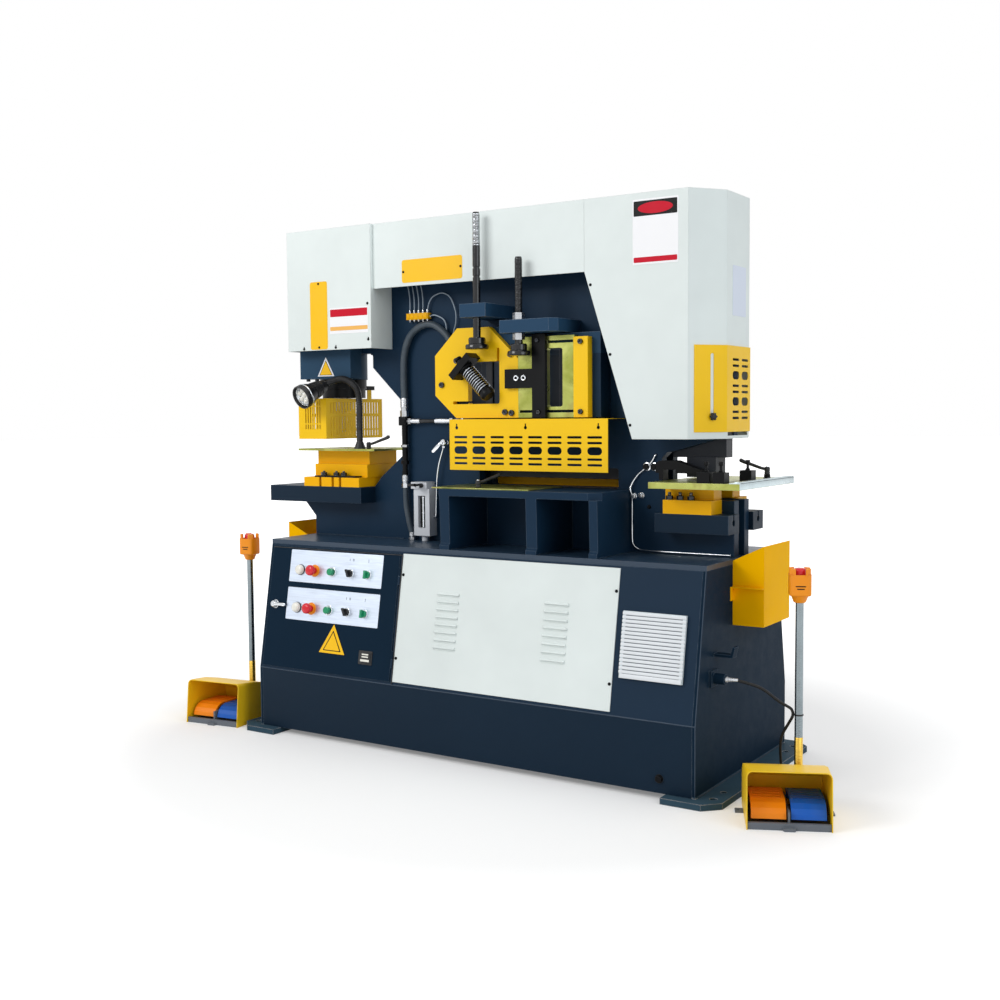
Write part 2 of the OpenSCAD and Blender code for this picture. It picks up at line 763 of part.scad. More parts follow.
module tool_guards() {
    color(yellow) {
        // slotted cage round the punch, open at the back
        difference() {
            union() {
                box(cage[0], cage[1], -cage_front, cage_back, up(cage[2]), up(cage[3]));
                for (x = [cage[0], cage[1] - cage_t]) box(x, x + cage_t, cage_strap[0], cage_strap[1], up(cage[3]) - 1, up(cage_arm[0]));
            }
            box(cage[0] + cage_t, cage[1] - cage_t, cage_t - cage_front, cage_back + 5, up(cage[2]) - 1, up(cage[3]) + 1);
            translate([(cage[0] + cage[1]) / 2, -cage_front - 10, 0]) cage_slots(7, 12, [[38, 56], [61, 124], [129, 148]]);
            for (x = [cage[0] - 10, cage[1] - 10])
                translate([x, -10, 0]) rotate([0, 0, 90]) mirror([0, 1, 0])
                    cage_slots(18, 17, [[10, 32], [38, 86], [98, 142]]);
        }
        // perforated guard in front of the plate shear, with a lip along its top
        difference() {
            union() {
                box(guard_x[0], guard_x[1], -guard_y, 2 - guard_y, up(guard_up[0]), up(guard_up[1]));
                box(guard_x[0], guard_x[1], 1 - guard_y, -frame_y, up(guard_up[1] - 2), up(guard_up[1]));
            }
            for (i = [0:7], row = [[298, 8], [317, 8], [345, 27], [372, 8], [391, 8]])
                translate([-95 + i * slot_pitch, -guard_y, up(row[0])]) rotate([90, 0, 0])
                    linear_extrude(10, center = true) polygon(stadium(slot_l, row[1]));
            for (x = [-112, 176, 460]) {
                pin_y(x, up(424), -guard_y - 5, -guard_y + 5, 12);
                box(x - 2.5, x + 2.5, -guard_y - 5, 5 - guard_y, up(424), up(438));
            }
        }
    }
}

// ---- shears --------------------------------------------------------------

module fixed_blades() {
    color(steel) {
        box(-95, 465, -frame_gap / 2, -slip, up(table_up - 30), up(table_up));
        // seats of the bar and angle blades in the back plate windows
        box(bar_window[0] - 8, bar_window[0] - 1, frame_gap / 2 + 2, frame_y - 4, up(502), up(688));
        box(angle_window[0], angle_window[1], frame_gap / 2 + 2, frame_y - 4, up(angle_window[2] - 10), up(angle_window[2]));
    }
}

module shear_guides() {
    color(yellow) {
        difference() {
            plate_xz([[-224, up(540)], [-132, up(shear_low)], [131, up(shear_low)], [131, up(663)], [10, up(778)],
                      [-126, up(778)], [-224, up(683)]], -shear_front, shear_t);
            window(angle_window);
            box(angle_window[1] - 10, angle_window[1], -shear_front - 1, 0, up(650), up(703));
            box(-146, angle_window[0] + 1, -shear_front - 1, 0, up(angle_window[2]), up(angle_window[2] + 10));
        }
        box(354, 409, -shear_front - 6, shear_t - shear_front, up(shear_low), up(729));
    }
}

module bar_shear_plate() {
    color(zinc) difference() {
        box(131, 354, -shear_front, shear_t - shear_front, up(shear_low), up(736));
        window(bar_window);
        box(250, 355, -shear_front - 1, 0, up(711), up(720));
        box(136, 355, -shear_front - 1, 0, up(475), up(484));
    }
}

angle_clamp = [-74, 640];
clamp_y = 192;

// Children laid on the axis of the angle clamp: z points down into the angle
module on_angle_clamp() {
    translate([angle_clamp[0], -clamp_y, up(angle_clamp[1])]) rotate([0, 135, 0]) children();
}

module clamp_bars() {
    color(black) {
        // bar shear hold-down with its side bracket
        box(196, 248, -shear_front - 16, -shear_front, up(shear_low), up(743));
        box(85, 196.5, -shear_front - 16, -shear_front, up(560), up(626));
        // angle shear clamp plate, set at 45 degrees
        on_angle_clamp() difference() {
            cube([108, 64, 25], center = true);
            cylinder(r = 11 + fit, h = 60, center = true);
        }
        // collar under the punch head
        difference() {
            union() {
                translate([punch_x, 0, up(collar_low + 36)]) cylinder(d = 180, h = head_low - collar_low - 36);
                translate([punch_x, 0, up(collar_low)]) cylinder(d = 170, h = 37);
                // arm behind it that holds the cage
                box(cage[0], cage[1], cage_strap[0], cage_strap[1] + 20, up(cage_arm[0]), up(cage_arm[1]));
            }
            translate([punch_x, 0, up(collar_low) - 1]) cylinder(r = ram_d / 2 + fit, h = 100);
        }
        // notcher hold-down arm and its foot
        difference() {
            plate_xz([[628, up(273)], [628, up(305)], [640, up(313)], [700, up(314)], [788, up(284)], [788, up(272)]],
                     -frame_y - 40, 40);
            box(655, 700, -frame_y - 50, 0, up(262), up(284));
        }
        box(640, 655, -frame_y - 40, -frame_y, up(230 + notch_table_t), up(274));
        // material stops on the notcher table
        for (p = [[838, 880, -245, -190], [893, 930, -245, -205], [905, 945, -60, -20]])
            box(p[0], p[1], p[2], p[3], up(230 + notch_table_t), up(230 + notch_table_t + 34));
        box(858, 878, -190.5, -120, up(255), up(275));
    }
}

plunger_l = 150;
plunger_out = 13;

// Spring loaded clamp screw of the angle shear: its sleeve has the ribs of its spring
module angle_plunger() {
    color(steel) on_angle_clamp() rotate_extrude()
        polygon(concat([[0, -40], [14, -40], [14, -32], [11, -30], [11, plunger_out]],
                       [for (i = [0:8]) each [[26, plunger_out + 1 + i * 9], [30, plunger_out + 5 + i * 9]]],
                       [[25, 95], [28, 98], [28, plunger_l - 8], [22, plunger_l], [0, plunger_l]]));
}

module slide_cylinder() {
    color(navy) translate([cyl_x, 0, 0]) difference() {
        union() {
            box(-150, 150, -100, 100, up(rear_up), up(rear_up + 30));
            translate([0, 0, up(cyl_seat_up + 10)]) cylinder(d = 200, h = 307);
        }
        translate([0, 0, up(cyl_seat_up)]) cylinder(r = 24 + fit, h = 170);
    }
}

slide_low = 289;
slide_top = 773;
slide_y = frame_gap / 2 - slip;

module tool_slide() {
    color(steel) {
        difference() {
            plate_xz([[-118, up(slide_low)], [590, up(slide_low)], [640, up(383)], [655, up(383)], [655, up(323)],
                      [846, up(323)], [846, up(slide_top)], [-118, up(slide_top)]], -slide_y, 2 * slide_y);
            window(angle_window, 14);
            window(bar_window, 12);
        }
        // moving blade of the plate shear
        box(-95, 465, slip, slide_y, up(table_up + 30), up(slide_low + 1));
        // notching punch
        box(notch_punch_x - notch_w / 2, notch_punch_x + notch_w / 2, -notch_d / 2, notch_d / 2, up(258), up(324));
        translate([cyl_x, 0, up(slide_top - 1)]) cylinder(r = 24, h = 160);
    }
}

module spindle(x, low, high, flange_d) {
    translate([x, -spindle_y, 0]) {
        translate([0, 0, up(low)]) cylinder(d = flange_d, h = 18);
        translate([0, 0, up(low + 17)]) cylinder(d = flange_d * 0.72, h = 24);
        translate([0, 0, up(low + 40)]) cylinder(d = spindle_d, h = high - low - 40);
    }
}

module left_spindle() {
    color(steel) spindle(spindle_1_x, 697, 1170, 82);
}
module right_spindle() {
    color(steel) spindle(spindle_2_x, 669, 1004, 78);
}

// ---- lever, lube, lamp ---------------------------------------------------

// Adjustable clamp lever: hub, shank and a handle that rises to its tip
module clamp_lever(l, angle) {
    rotate([0, 0, angle]) {
        cylinder(d = 19, h = 26);
        rotate([90, 0, 0]) linear_extrude(10, center = true)
            polygon([[0, 12], [0, 24], [l * 0.4, 30], [l - 4, 24 + l * 0.3], [l, 20 + l * 0.3], [l * 0.5, 18]]);
    }
}

punch_lever_at = [-571, -118];
shear_lever_at = [20, -250];
notch_lever_at = [930, 120];

module punch_clamp_lever() {
    color(black) translate([punch_lever_at[0], punch_lever_at[1], up(die_top + table_plate_t) + slip])
        clamp_lever(90, 15);
}
module shear_clamp_lever() {
    color(black) translate([shear_lever_at[0], shear_lever_at[1], up(table_up + 4) + slip]) clamp_lever(80, 40);
}
module notch_clamp_lever() {
    color(black) translate([notch_lever_at[0], notch_lever_at[1], up(230 + notch_table_t + 14) + slip])
        clamp_lever(95, 195);
}

lamp_foot = [-606, -128];
lamp_route = [[-606, -128, up(346)], [-604, -131, up(430)], [-598, -138, up(520)], [-603, -142, up(565)],
              [-628, -146, up(595)], [-668, -148, up(611)], [-712, -150, up(606)], [-748, -158, up(591)]];

module work_lamp() {
    color(black) {
        translate([lamp_foot[0], lamp_foot[1], up(die_top + table_plate_t)]) {
            cylinder(d = 44, h = 8);
            cylinder(d1 = 40, d2 = 27, h = 24);
        }
        tube_along(smooth_route(lamp_route, 4), 26, 10);
        // head, turned to the operator
        translate([-747, -154, up(592)]) rotate([0, 113, -101]) rotate_extrude()
            polygon([[0, 0], [15, 0], [23, 14], [28, 36], [32, 64], [37, 86], [42, 96], [46, 112], [46, 132],
                     [43, 134], [37, 118], [0, 112]]);
    }
}

hose_y = frame_y + 20;
hose_d = 25;
ferrule_d = 30;
hose_route = [[-205, -hose_y, up(735)], [-240, -hose_y, up(775)], [-290, -hose_y, up(804)],
              [-345, -hose_y, up(800)], [-395, -hose_y, up(765)], [-422, -hose_y, up(700)],
              [-427, -hose_y, up(620)], [-425, -hose_y, up(535)]];

module fluid_lines() {
    color(black) {
        // main hose from behind the shear pad to the tee
        tube_along(smooth_route(hose_route, 4), hose_d, 10);
        pin_y(-205, up(735), -hose_y - 12, -frame_y, 26);
        translate([-425, -hose_y, up(464)]) cylinder(d = ferrule_d, h = 72);
        // tee on the plate
        translate([-425, -frame_y - 20, up(449)]) cube([34, 40, 34], center = true);
        translate([-409, -hose_y, up(448)]) rotate([0, 90, 0]) cylinder(d = 22, h = 40);
        translate([-370, -hose_y, up(448)]) rotate([0, 90, 0]) cylinder(d = 15, h = 90);
        translate([-281, -hose_y, up(448)]) rotate([0, 90, 0]) cylinder(d = 22, h = 110);
        pin_y(-171, up(448), -hose_y - 12, -frame_y, 26);
        translate([-425, -hose_y, up(300)]) cylinder(d = 22, h = 134);
        translate([-425, -hose_y, up(195)]) cylinder(d = 27, h = 106);
        tube_along(smooth_route([[-425, -hose_y, up(197)], [-422, -hose_y, up(130)], [-408, -hose_y, up(60)],
                                 [-395, -hose_y, up(20)]], 3), 20, 10);
        translate([-395, -hose_y, up(0)]) cylinder(d = 24, h = 24);
    }
    // lube distributor with five pipes up and two to the right
    color(orange) {
        box(-409, -309, -frame_y - 24, -frame_y, up(826), up(850));
        for (i = [0:4]) {
            x = -399 + i * 20;
            translate([x, -frame_y - 12, up(818)]) cylinder(d = 9, h = 40);
            tube_along([[x, -frame_y - 12, up(857)], [x, -frame_y - 12, up(900)], [x - 12, -frame_y - 12, up(960)]], 5, 6);
        }
        tube_along(smooth_route([[-311, -frame_y - 12, up(838)], [-280, -frame_y - 12, up(838)],
                                 [-240, -frame_y - 12, up(815)], [-232, -frame_y - 10, up(760)],
                                 [-230, -frame_y - 6, up(700)]], 4), 5, 6);
        pin_y(-230, up(700), -frame_y - 11, -frame_y, 11);
    }
}

pump_x = -331;

module lube_pump() {
    color(grey) {
        difference() {
            box(pump_x - 36, pump_x + 36, -frame_y - 46, -frame_y, up(20), up(196));
            box(pump_x - 16, pump_x + 16, -frame_y - 47, -frame_y - 30, up(50), up(170));
        }
        box(pump_x - 44, pump_x + 28, -frame_y - 52, -frame_y, up(196), up(221));
        translate([pump_x, -frame_y - 24, up(0)]) cylinder(d = 26, h = 21);
        // lever pivot lug
        difference() {
            box(pump_x - 8, pump_x + 8, -frame_y - 72, -frame_y - 51, up(200), up(218));
            translate([pump_x, -frame_y - 62, up(209)]) rotate([0, 90, 0]) cylinder(r = 3 + fit, h = 40, center = true);
        }
    }
}

module pump_lever() {
    color(black) translate([pump_x, -frame_y - 62, up(209)]) {
        rotate([0, 90, 0]) cylinder(r = 3, h = 30, center = true);
        for (s = [-1, 1]) translate([s * 11.5, 0, 0]) rotate([0, 90, 0]) cylinder(r = 8, h = 5, center = true);
        for (s = [-1, 1]) translate([s * 11.5 - 2.5, -44, 0]) cube([5, 44, 8]);
        translate([-14, -50, 0]) cube([28, 8, 8]);
    }
}

// ---- bins and floor stations --------------------------------------------

bin_x = half_l + 105;
bin_pts = [[half_l, up(-212)], [bin_x, up(-212)], [bin_x, up(46)], [half_l, up(-4)]];

module scrap_bins() {
    color(yellow) for (s = [0, 1]) mirror([s, 0, 0]) {
        difference() {
            plate_xz(bin_pts, -100, 233);
            plate_xz([[half_l + 3, up(-209)], [bin_x - 3, up(-209)], [bin_x - 3, up(60)], [half_l + 3, up(60)]], -97, 227);
        }
        // stiffening ledge and hanging tab on the front cheek
        box(half_l, bin_x, -118, -99, up(-90), up(-87));
        box(half_l, half_l + 3, -122, -99, up(-132), up(-87));
    }
}

station_right = [1121, -241, 25, 50];
station_left = [-1145, -203, 8, 0];

module at_station(s) {
    translate([s[0], s[1], 0]) rotate([0, 0, s[2]]) children();
}

pedal_pivot = [-40, 42];

module pedal_base() {
    difference() {
        union() {
            // tray with a raised front bar, a toe tab and a rib between the pedals
            translate([-pedal_box_w / 2, -pedal_box_d, 0]) cube([pedal_box_w, pedal_box_d, 5]);
            translate([-pedal_box_w / 2, -pedal_box_d - 8, 0]) cube([pedal_box_w, 12, 20]);
            translate([-20, -pedal_box_d - 20, 0]) linear_extrude(9) polygon([[0, 13], [5, 0], [35, 0], [40, 13]]);
            translate([-3, -pedal_box_d + 3, 4]) cube([6, 170, 46]);
            // pivot lugs
            for (x = [-112, 0, 112]) translate([x - 4, pedal_pivot[0] - 9, 4]) cube([8, 18, 47]);
            // screw lugs at the sides
            for (s = [-1, 1]) translate([s * (pedal_box_w / 2 + 12) - 16, -92, 0]) cube([32, 34, 5]);
        }
        translate([-130, pedal_pivot[0], pedal_pivot[1]]) rotate([0, 90, 0]) cylinder(r = 3 + fit, h = 260);
        for (s = [-1, 1]) translate([s * (pedal_box_w / 2 + 18), -75, -1]) cylinder(d = 9, h = 8);
    }
}

module pedal_bases() {
    color(grey) {
        for (s = [station_right, station_left]) at_station(s) pedal_base();
    }
}

guard_wall = 3;
gland_z = 30;

// A hood from its side outline, its upper side edges rounded
module hood_form(side, half_wide, top, r) {
    intersection() {
        translate([-half_wide, 0, 0]) rotate([90, 0, 90]) linear_extrude(2 * half_wide) polygon(side);
        rotate([90, 0, 0]) linear_extrude(700, center = true)
            polygon(concat([[-half_wide, -2], [half_wide, -2]], arc_pts([half_wide - r, top - r], r, 0, 90),
                           arc_pts([r - half_wide, top - r], r, 90, 180)));
    }
}

module pedal_guard() {
    w = pedal_box_w / 2 + guard_wall + slip;
    h = pedal_box_h;
    d = pedal_box_d;
    difference() {
        hood_form([[4, 0], [4, h - 75], [-8, h - 50], [-40, h - 30], [-120, h - 12], [2 - d, h], [-d - 14, 0]], w, h, 18);
        hood_form([[4 - guard_wall, -1], [4 - guard_wall, h - 76], [-10, h - 53], [-41, h - 33.4], [-121, h - 15],
                   [-d - 32, h + 0.6], [-d - 32, -1]], w - guard_wall, h - guard_wall, 15);
        // notches over the screw lugs of the tray
        translate([-w - 1, -95, -1]) cube([2 * w + 2, 40, 7]);
    }
}

// Gland where the cable enters the right foot switch
module cable_gland() {
    translate([0, 3.5, gland_z]) rotate([-90, 0, 0]) cylinder(d = 17, h = 20.5);
}

module pedal_guards() {
    color(yellow) {
        for (s = [station_right, station_left]) at_station(s) pedal_guard();
        at_station(station_right) cable_gland();
    }
}

// A pedal hinged at its back: side -1 is the left one of the pair
module pedal(side) {
    x0 = side < 0 ? -107 : 7;
    difference() {
        union() {
            translate([x0, 0, 0]) rotate([90, 0, 90]) linear_extrude(100)
                polygon([[-20, 60], [-60, 70], [-165, 72], [-188, 66], [-204, 54], [-213, 40], [-217, 26], [-208, 26],
                         [-204, 38], [-196, 49], [-184, 58], [-165, 64], [-60, 62], [-20, 52]]);
            translate([x0, pedal_pivot[0] - 8, pedal_pivot[1]]) cube([100, 16, 22]);
            translate([x0, pedal_pivot[0], pedal_pivot[1]]) rotate([0, 90, 0]) cylinder(d = 16, h = 100);
        }
        // tread grooves
        for (i = [0:3]) translate([x0 + 8, -165 + i * 26, 69]) cube([84, 7, 6]);
    }
    translate([x0 - 3.5, pedal_pivot[0], pedal_pivot[1]]) rotate([0, 90, 0]) cylinder(r = 3, h = 107);
}

module right_pedal_orange() { color(orange) at_station(station_right) pedal(-1); }
module right_pedal_blue() { color(blue) at_station(station_right) pedal(1); }
module left_pedal_orange() { color(orange) at_station(station_left) pedal(-1); }
module left_pedal_blue() { color(blue) at_station(station_left) pedal(1); }

stop_h = 105;
tie_z = 271;

module stanchion(s) {
    at_station(s) translate([s[3], 26, 0]) {
        // foot plate, tube and the stop box on top
        translate([-35, -22, 0]) cube([70, 60, 8]);
        cylinder(d = pole_d, h = pole_h + 1);
        translate([0, 0, tie_z]) cylinder(d = pole_d + 1, h = 8);
        difference() {
            translate([0, 0, pole_h]) union() {
                cylinder(d1 = 34, d2 = 56, h = 22);
                translate([0, 0, 21]) linear_extrude(stop_h - 21) polygon(round_rect(66, 62, 12));
            }
            // well for the stop button, its rim notched on all sides
            translate([0, 0, pole_h + stop_h - 30]) cylinder(r = 26, h = 40);
            translate([0, 0, pole_h + stop_h - 8]) cube([30, 80, 18], center = true);
            translate([0, 0, pole_h + stop_h - 8]) cube([80, 26, 18], center = true);
            translate([0, 0, pole_h + stop_h - 60]) cylinder(r = 8 + fit, h = 40);
        }
    }
}

module stanchions() {
    color(steel) {
        stanchion(station_right);
        stanchion(station_left);
    }
}

module stop_mushroom(s) {
    at_station(s) translate([s[3], 26, pole_h + stop_h - 30]) {
        translate([0, 0, -24]) cylinder(r = 8, h = 36);
        translate([0, 0, button_travel + 3]) cylinder(d = stop_d, h = 24);
    }
}

module right_stop_button() { color(red) stop_mushroom(station_right); }
module left_stop_button() { color(red) stop_mushroom(station_left); }

// Route of the cable from the socket, past its tie on the pole, to the foot switch
cable_route = [[946, -262, 372], [968, -259, 372], [990, -255, 370], [1050, -240, 353], [1100, -220, 315],
               [1129, -205, 295], [1136, -201, 286], [1138, -200, 275], [1135, -200, 263], [1121, -194, 240],
               [1100, -190, 200], [1094, -186, 156], [1095, -182, 110], [1096, -184, 68], [1101, -199, 38],
               [1111, -219, 30]];

module switch_cable() {
    color(black) tube_along(smooth_route(cable_route, 3), cable_d, 8);
}

// ---- door and its controls ----------------------------------------------

door_edge = [-inner_half + 2, -276, 10, slope_l - 8];
element_x = [-738, -668, -584, -497, -415];
front_h = wall_top - ledge_h;
row_y = [front_h - 87, front_h - 229];
plate_y = [front_h - 73, front_h - 215];
plate_x = -570;
plate_size = [444, 122];
door_w = 0.5;
face_w = door_w + door_t + 1.5;
cap_off = button_travel + 3;
cap_rim = 4.5;
stop_neck = 22;
stop_cap_h = 16;

module door() {
    color(navy) on_front() difference() {
        union() {
            translate([door_edge[0], door_edge[2], door_w])
                cube([door_edge[1] - door_edge[0], door_edge[3] - door_edge[2], door_t]);
            // stiffening flange inside the opening
            translate([door_open[0] + 4, door_open[2] + 4, -14])
                cube([door_open[1] - door_open[0] - 8, door_open[3] - door_open[2] - 8, 15]);
            for (y = plate_y) translate([plate_x - plate_size[0] / 2, y - plate_size[1] / 2, door_w + door_t - 0.1])
                cube([plate_size[0], plate_size[1], 1.6]);
            for (y = hinge_at) {
                knuckle(y + knuckle_l + 0.5);
                translate([door_edge[1] - 1, y + knuckle_l + 0.5, door_w]) cube([hinge_x - door_edge[1] + 1, knuckle_l, door_t]);
            }
            translate([-850, 245, door_w + door_t - 0.1]) cylinder(d = 30, h = 4.1);
        }
        translate([door_open[0] + 7, door_open[2] + 7, -15])
            cube([door_open[1] - door_open[0] - 14, door_open[3] - door_open[2] - 14, 15.5]);
        for (x = [element_x[1], element_x[2], element_x[3], element_x[4]], y = row_y)
            translate([x, y, -5]) cylinder(r = button_d / 2 + fit, h = 20);
        translate([-850, 245, -5]) cylinder(r = 8 + fit, h = 20);
        for (y = hinge_at)
            translate([hinge_x, y, hinge_w]) rotate([-90, 0, 0])
                cylinder(r = hinge_pin_r + fit, h = 2 * knuckle_l + 2, $fn = 24);
    }
}

module door_latch() {
    color(steel) on_front() {
        translate([-850, 245, -18]) cylinder(r = 8, h = 32);
        // cam that turns behind the edge of the opening
        translate([-855, 245, -20]) cube([10, 32, 3]);
        translate([-850, 245, 12]) cylinder(d = 24, h = 9);
        translate([-850, 245, 13]) linear_extrude(7) polygon([[0, -9], [52, -7], [58, -3], [58, 3], [52, 7], [0, 9]]);
    }
}

module stem(x, y, h) {
    translate([x, y, -24]) cylinder(r = button_d / 2, h = h + 24);
}
module panel_stop(y) {
    color(red) on_front() {
        stem(element_x[1], y, face_w + stop_neck + 1);
        translate([element_x[1], y, face_w + stop_neck]) cylinder(d = stop_d, h = stop_cap_h);
    }
}
module start_button(y) {
    color(green) on_front() {
        stem(element_x[2], y, face_w + cap_off + 1);
        translate([element_x[2], y, face_w + cap_off]) cylinder(d = button_d + cap_rim, h = 11);
    }
}
module selector(x, y) {
    stem(x, y, face_w + cap_off);
    translate([x, y, face_w + cap_off - 1]) cylinder(d = button_d + cap_rim, h = 6);
    translate([x, y, face_w + cap_off + 4]) rotate([0, 0, 90])
        linear_extrude(12) polygon(stadium(button_d + cap_rim, 9));
}
module panel_stop_upper() { panel_stop(row_y[0]); }
module panel_stop_lower() { panel_stop(row_y[1]); }
module start_button_upper() { start_button(row_y[0]); }
module start_button_lower() { start_button(row_y[1]); }
module black_selector_upper() { color(black) on_front() selector(element_x[3], row_y[0]); }
module black_selector_lower() { color(black) on_front() selector(element_x[3], row_y[1]); }
module green_selector_upper() { color(green) on_front() selector(element_x[4], row_y[0]); }
module green_selector_lower() { color(green) on_front() selector(element_x[4], row_y[1]); }

// ---- fasteners -----------------------------------------------------------

module fasteners() {
    color(steel) {
        // socket screws of the shear plates
        for (p = [[-128, 663], [-194, 578], [77, 478], [104, 475], [100, 719 - 40], [382, 712], [382, 477]])
            pin_y(p[0], up(p[1]), -shear_front - (p[0] > 200 ? 14 : 8), -shear_front - (p[0] > 200 ? 6 : 0), 18);
        for (p = [[218, 722], [222, 477], [136, 594], [166, 594]])
            pin_y(p[0], up(p[1]), -shear_front - 22, -shear_front - 16, 14);
        // strap over the punching die flange, with its studs and nuts
        box(-820, -615, -149, -108, up(flange_up), up(flange_up + 6));
        for (x = stud_x) {
            translate([x, stud_y, up(flange_up + 6)]) cylinder(d = 25, h = 11, $fn = 6);
            translate([x, stud_y, up(bolster_up)]) cylinder(d = 12, h = 36 + 24);
        }
        // nuts of the notcher die
        for (x = [692, 730, 768]) {
            translate([x, -130, up(188)]) cylinder(d = 24, h = 12, $fn = 6);
            translate([x, -130, up(199.9)]) cylinder(d = 13, h = 14);
        }
        // lock nuts of the right spindle, above and below its bar
        for (z = [bracket_2[2] - 24, bracket_2[3]])
            translate([spindle_2_x, -spindle_y, up(z)]) difference() {
                cylinder(d = 42, h = 24, $fn = 6);
                translate([0, 0, -1]) cylinder(r = spindle_d / 2 + fit, h = 26);
            }
        // screws of the covers and the front panels
        for (p = [[425, 896], [498, 664], [571, 431]])
            pin_y(p[0], up(p[1]), -cover_front - 2, -cover_front, 10);
        on_front() for (p = [[-255, 393], [-255, 96], [598, 394], [598, 99]])
            translate([p[0], p[1], 3]) cylinder(d = 9, h = 2);
        // door hinge pins
        on_front() for (y = hinge_at) translate([hinge_x, y + 1, hinge_w]) rotate([-90, 0, 0])
            cylinder(r = hinge_pin_r, h = 2 * knuckle_l - 2, $fn = 24);
        // drain plug
        pin_y(drain_x, drain_z, -half_w - 12, tank_wall - half_w, 26);
        // stud of the guard knob, welded to the right cover
        on_chamfer() pin_y(chamfer_l * knob_at, up(knob_up), -knob_stud_l, 0, knob_stud_d);
        // bolts of the notcher hold-down
        for (x = [586, 615]) hex_y(x, up(291), -frame_y - 12, -frame_y, 22);
        // clamp screw base of the notcher table
        translate([notch_lever_at[0], notch_lever_at[1], up(230 + notch_table_t)]) cylinder(d = 26, h = 14);
        // stop screws on the notcher blocks
        for (p = [[859, -218], [911, -225], [925, -40]])
            translate([p[0], p[1], up(230 + notch_table_t + 34)]) {
                cylinder(d = 9, h = 22);
                translate([0, 0, 21]) cylinder(d = 15, h = 12);
            }
    }
}

end_frames();
oil_tank();
base_top();
front_frame();
rear_sheet();
front_panels();
motor_pump();
electric_plate();
frame_plate_front();
frame_plate_back();
frame_brackets();
punch_head();
bolsters();
die_holders();
work_tables();
fixed_blades();
tool_guards();
shear_guides();
bar_shear_plate();
clamp_bars();
slide_cylinder();
left_cover();
upper_cover();
right_cover();
work_lamp();
fluid_lines();
lube_pump();
scrap_bins();
pedal_bases();
pedal_guards();
stanchions();
switch_cable();
fasteners();
punch_ram();
tool_slide();
door();
door_latch();
panel_stop_upper();
panel_stop_lower();
start_button_upper();
start_button_lower();
black_selector_upper();
black_selector_lower();
green_selector_upper();
green_selector_lower();
right_pedal_orange();
right_pedal_blue();
left_pedal_orange();
left_pedal_blue();
right_stop_button();
left_stop_button();
punch_clamp_lever();
shear_clamp_lever();
notch_clamp_lever();
left_spindle();
right_spindle();
angle_plunger();
notch_guard();
guard_knob();
pump_lever();
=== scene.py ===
import math

import bmesh
import bpy
from mathutils import Matrix, Vector


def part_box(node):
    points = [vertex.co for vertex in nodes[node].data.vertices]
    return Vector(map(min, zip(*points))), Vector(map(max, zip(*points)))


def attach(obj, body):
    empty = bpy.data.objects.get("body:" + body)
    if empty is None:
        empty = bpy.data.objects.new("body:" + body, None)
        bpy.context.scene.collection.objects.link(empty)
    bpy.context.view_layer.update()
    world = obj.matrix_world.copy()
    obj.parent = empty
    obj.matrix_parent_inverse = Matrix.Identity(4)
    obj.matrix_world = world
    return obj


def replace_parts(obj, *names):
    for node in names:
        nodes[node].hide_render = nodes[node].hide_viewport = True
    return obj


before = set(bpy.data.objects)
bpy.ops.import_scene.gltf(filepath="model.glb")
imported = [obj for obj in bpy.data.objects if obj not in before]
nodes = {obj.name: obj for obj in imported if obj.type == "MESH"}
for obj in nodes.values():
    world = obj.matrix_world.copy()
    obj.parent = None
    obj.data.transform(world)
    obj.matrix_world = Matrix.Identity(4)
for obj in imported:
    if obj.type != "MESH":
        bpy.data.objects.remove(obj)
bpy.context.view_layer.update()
ROOT = "machine"
PI = math.pi


def limits(name):
    """A CAD node's lowest and highest corner in millimetres."""
    low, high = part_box(name)
    return low * 1000, high * 1000


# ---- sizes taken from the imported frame, in millimetres ---------------------

TOP = limits("base_top")[1].z
LEDGE = limits("oil_tank")[1].z
HALF_W = limits("oil_tank")[1].y
HALF_TOP = limits("base_top")[1].y
LEAN = math.atan2(HALF_W - HALF_TOP, limits("base_top")[0].z - LEDGE)
FRAME_Y = -limits("frame_plate_front")[0].y
COVER_Y = -limits("upper_cover")[0].y
LEFT_Y = -limits("left_cover")[0].y
SHEAR_Y = -limits("bar_shear_plate")[0].y
SIDE_X = limits("right_cover")[1].x
CLAMP_FACE = limits("bar_shear_plate")[0].y - 16
FACE = 5.0
ROD = 13.4
SPINDLE_Y = -212
LEFT_SPINDLE, RIGHT_SPINDLE = -5, 167


def up(h):
    """A height over the top of the base."""
    return TOP + h


# ---- camera ----------------------------------------------------------------

camera = bpy.data.objects.new("camera", bpy.data.cameras.new("camera"))
bpy.context.scene.collection.objects.link(camera)
camera.location = (2.414, -3.806, 1.188)
camera.rotation_euler = (PI / 2 - 0.0671, 0.008, 0.5744)
camera.data.lens = 44.43
camera.data.sensor_width = 36
bpy.context.scene.camera = camera

# ---- mesh helpers, all in millimetres --------------------------------------


def at(x=0, y=0, z=0, rx=0, ry=0, rz=0):
    """A place and a turn in degrees, the turns taken in the order x, y, z."""
    turn = Matrix.Rotation(math.radians(rz), 4, "Z") @ Matrix.Rotation(math.radians(ry), 4, "Y")
    return Matrix.Translation((x, y, z)) @ turn @ Matrix.Rotation(math.radians(rx), 4, "X")


HERE = Matrix.Identity(4)
FRONT = at(0, -HALF_W, LEDGE, rx=90 - math.degrees(LEAN))


def on_front(x, v, w=0.0):
    """A place on the sloping front: its z points outward."""
    return FRONT @ Matrix.Translation((x, v, w))


def facing(x, y, z):
    """A place whose z points to the operator."""
    return at(x, y, z, rx=90)


form = bmesh.new()  # what is being built, until piece() takes it


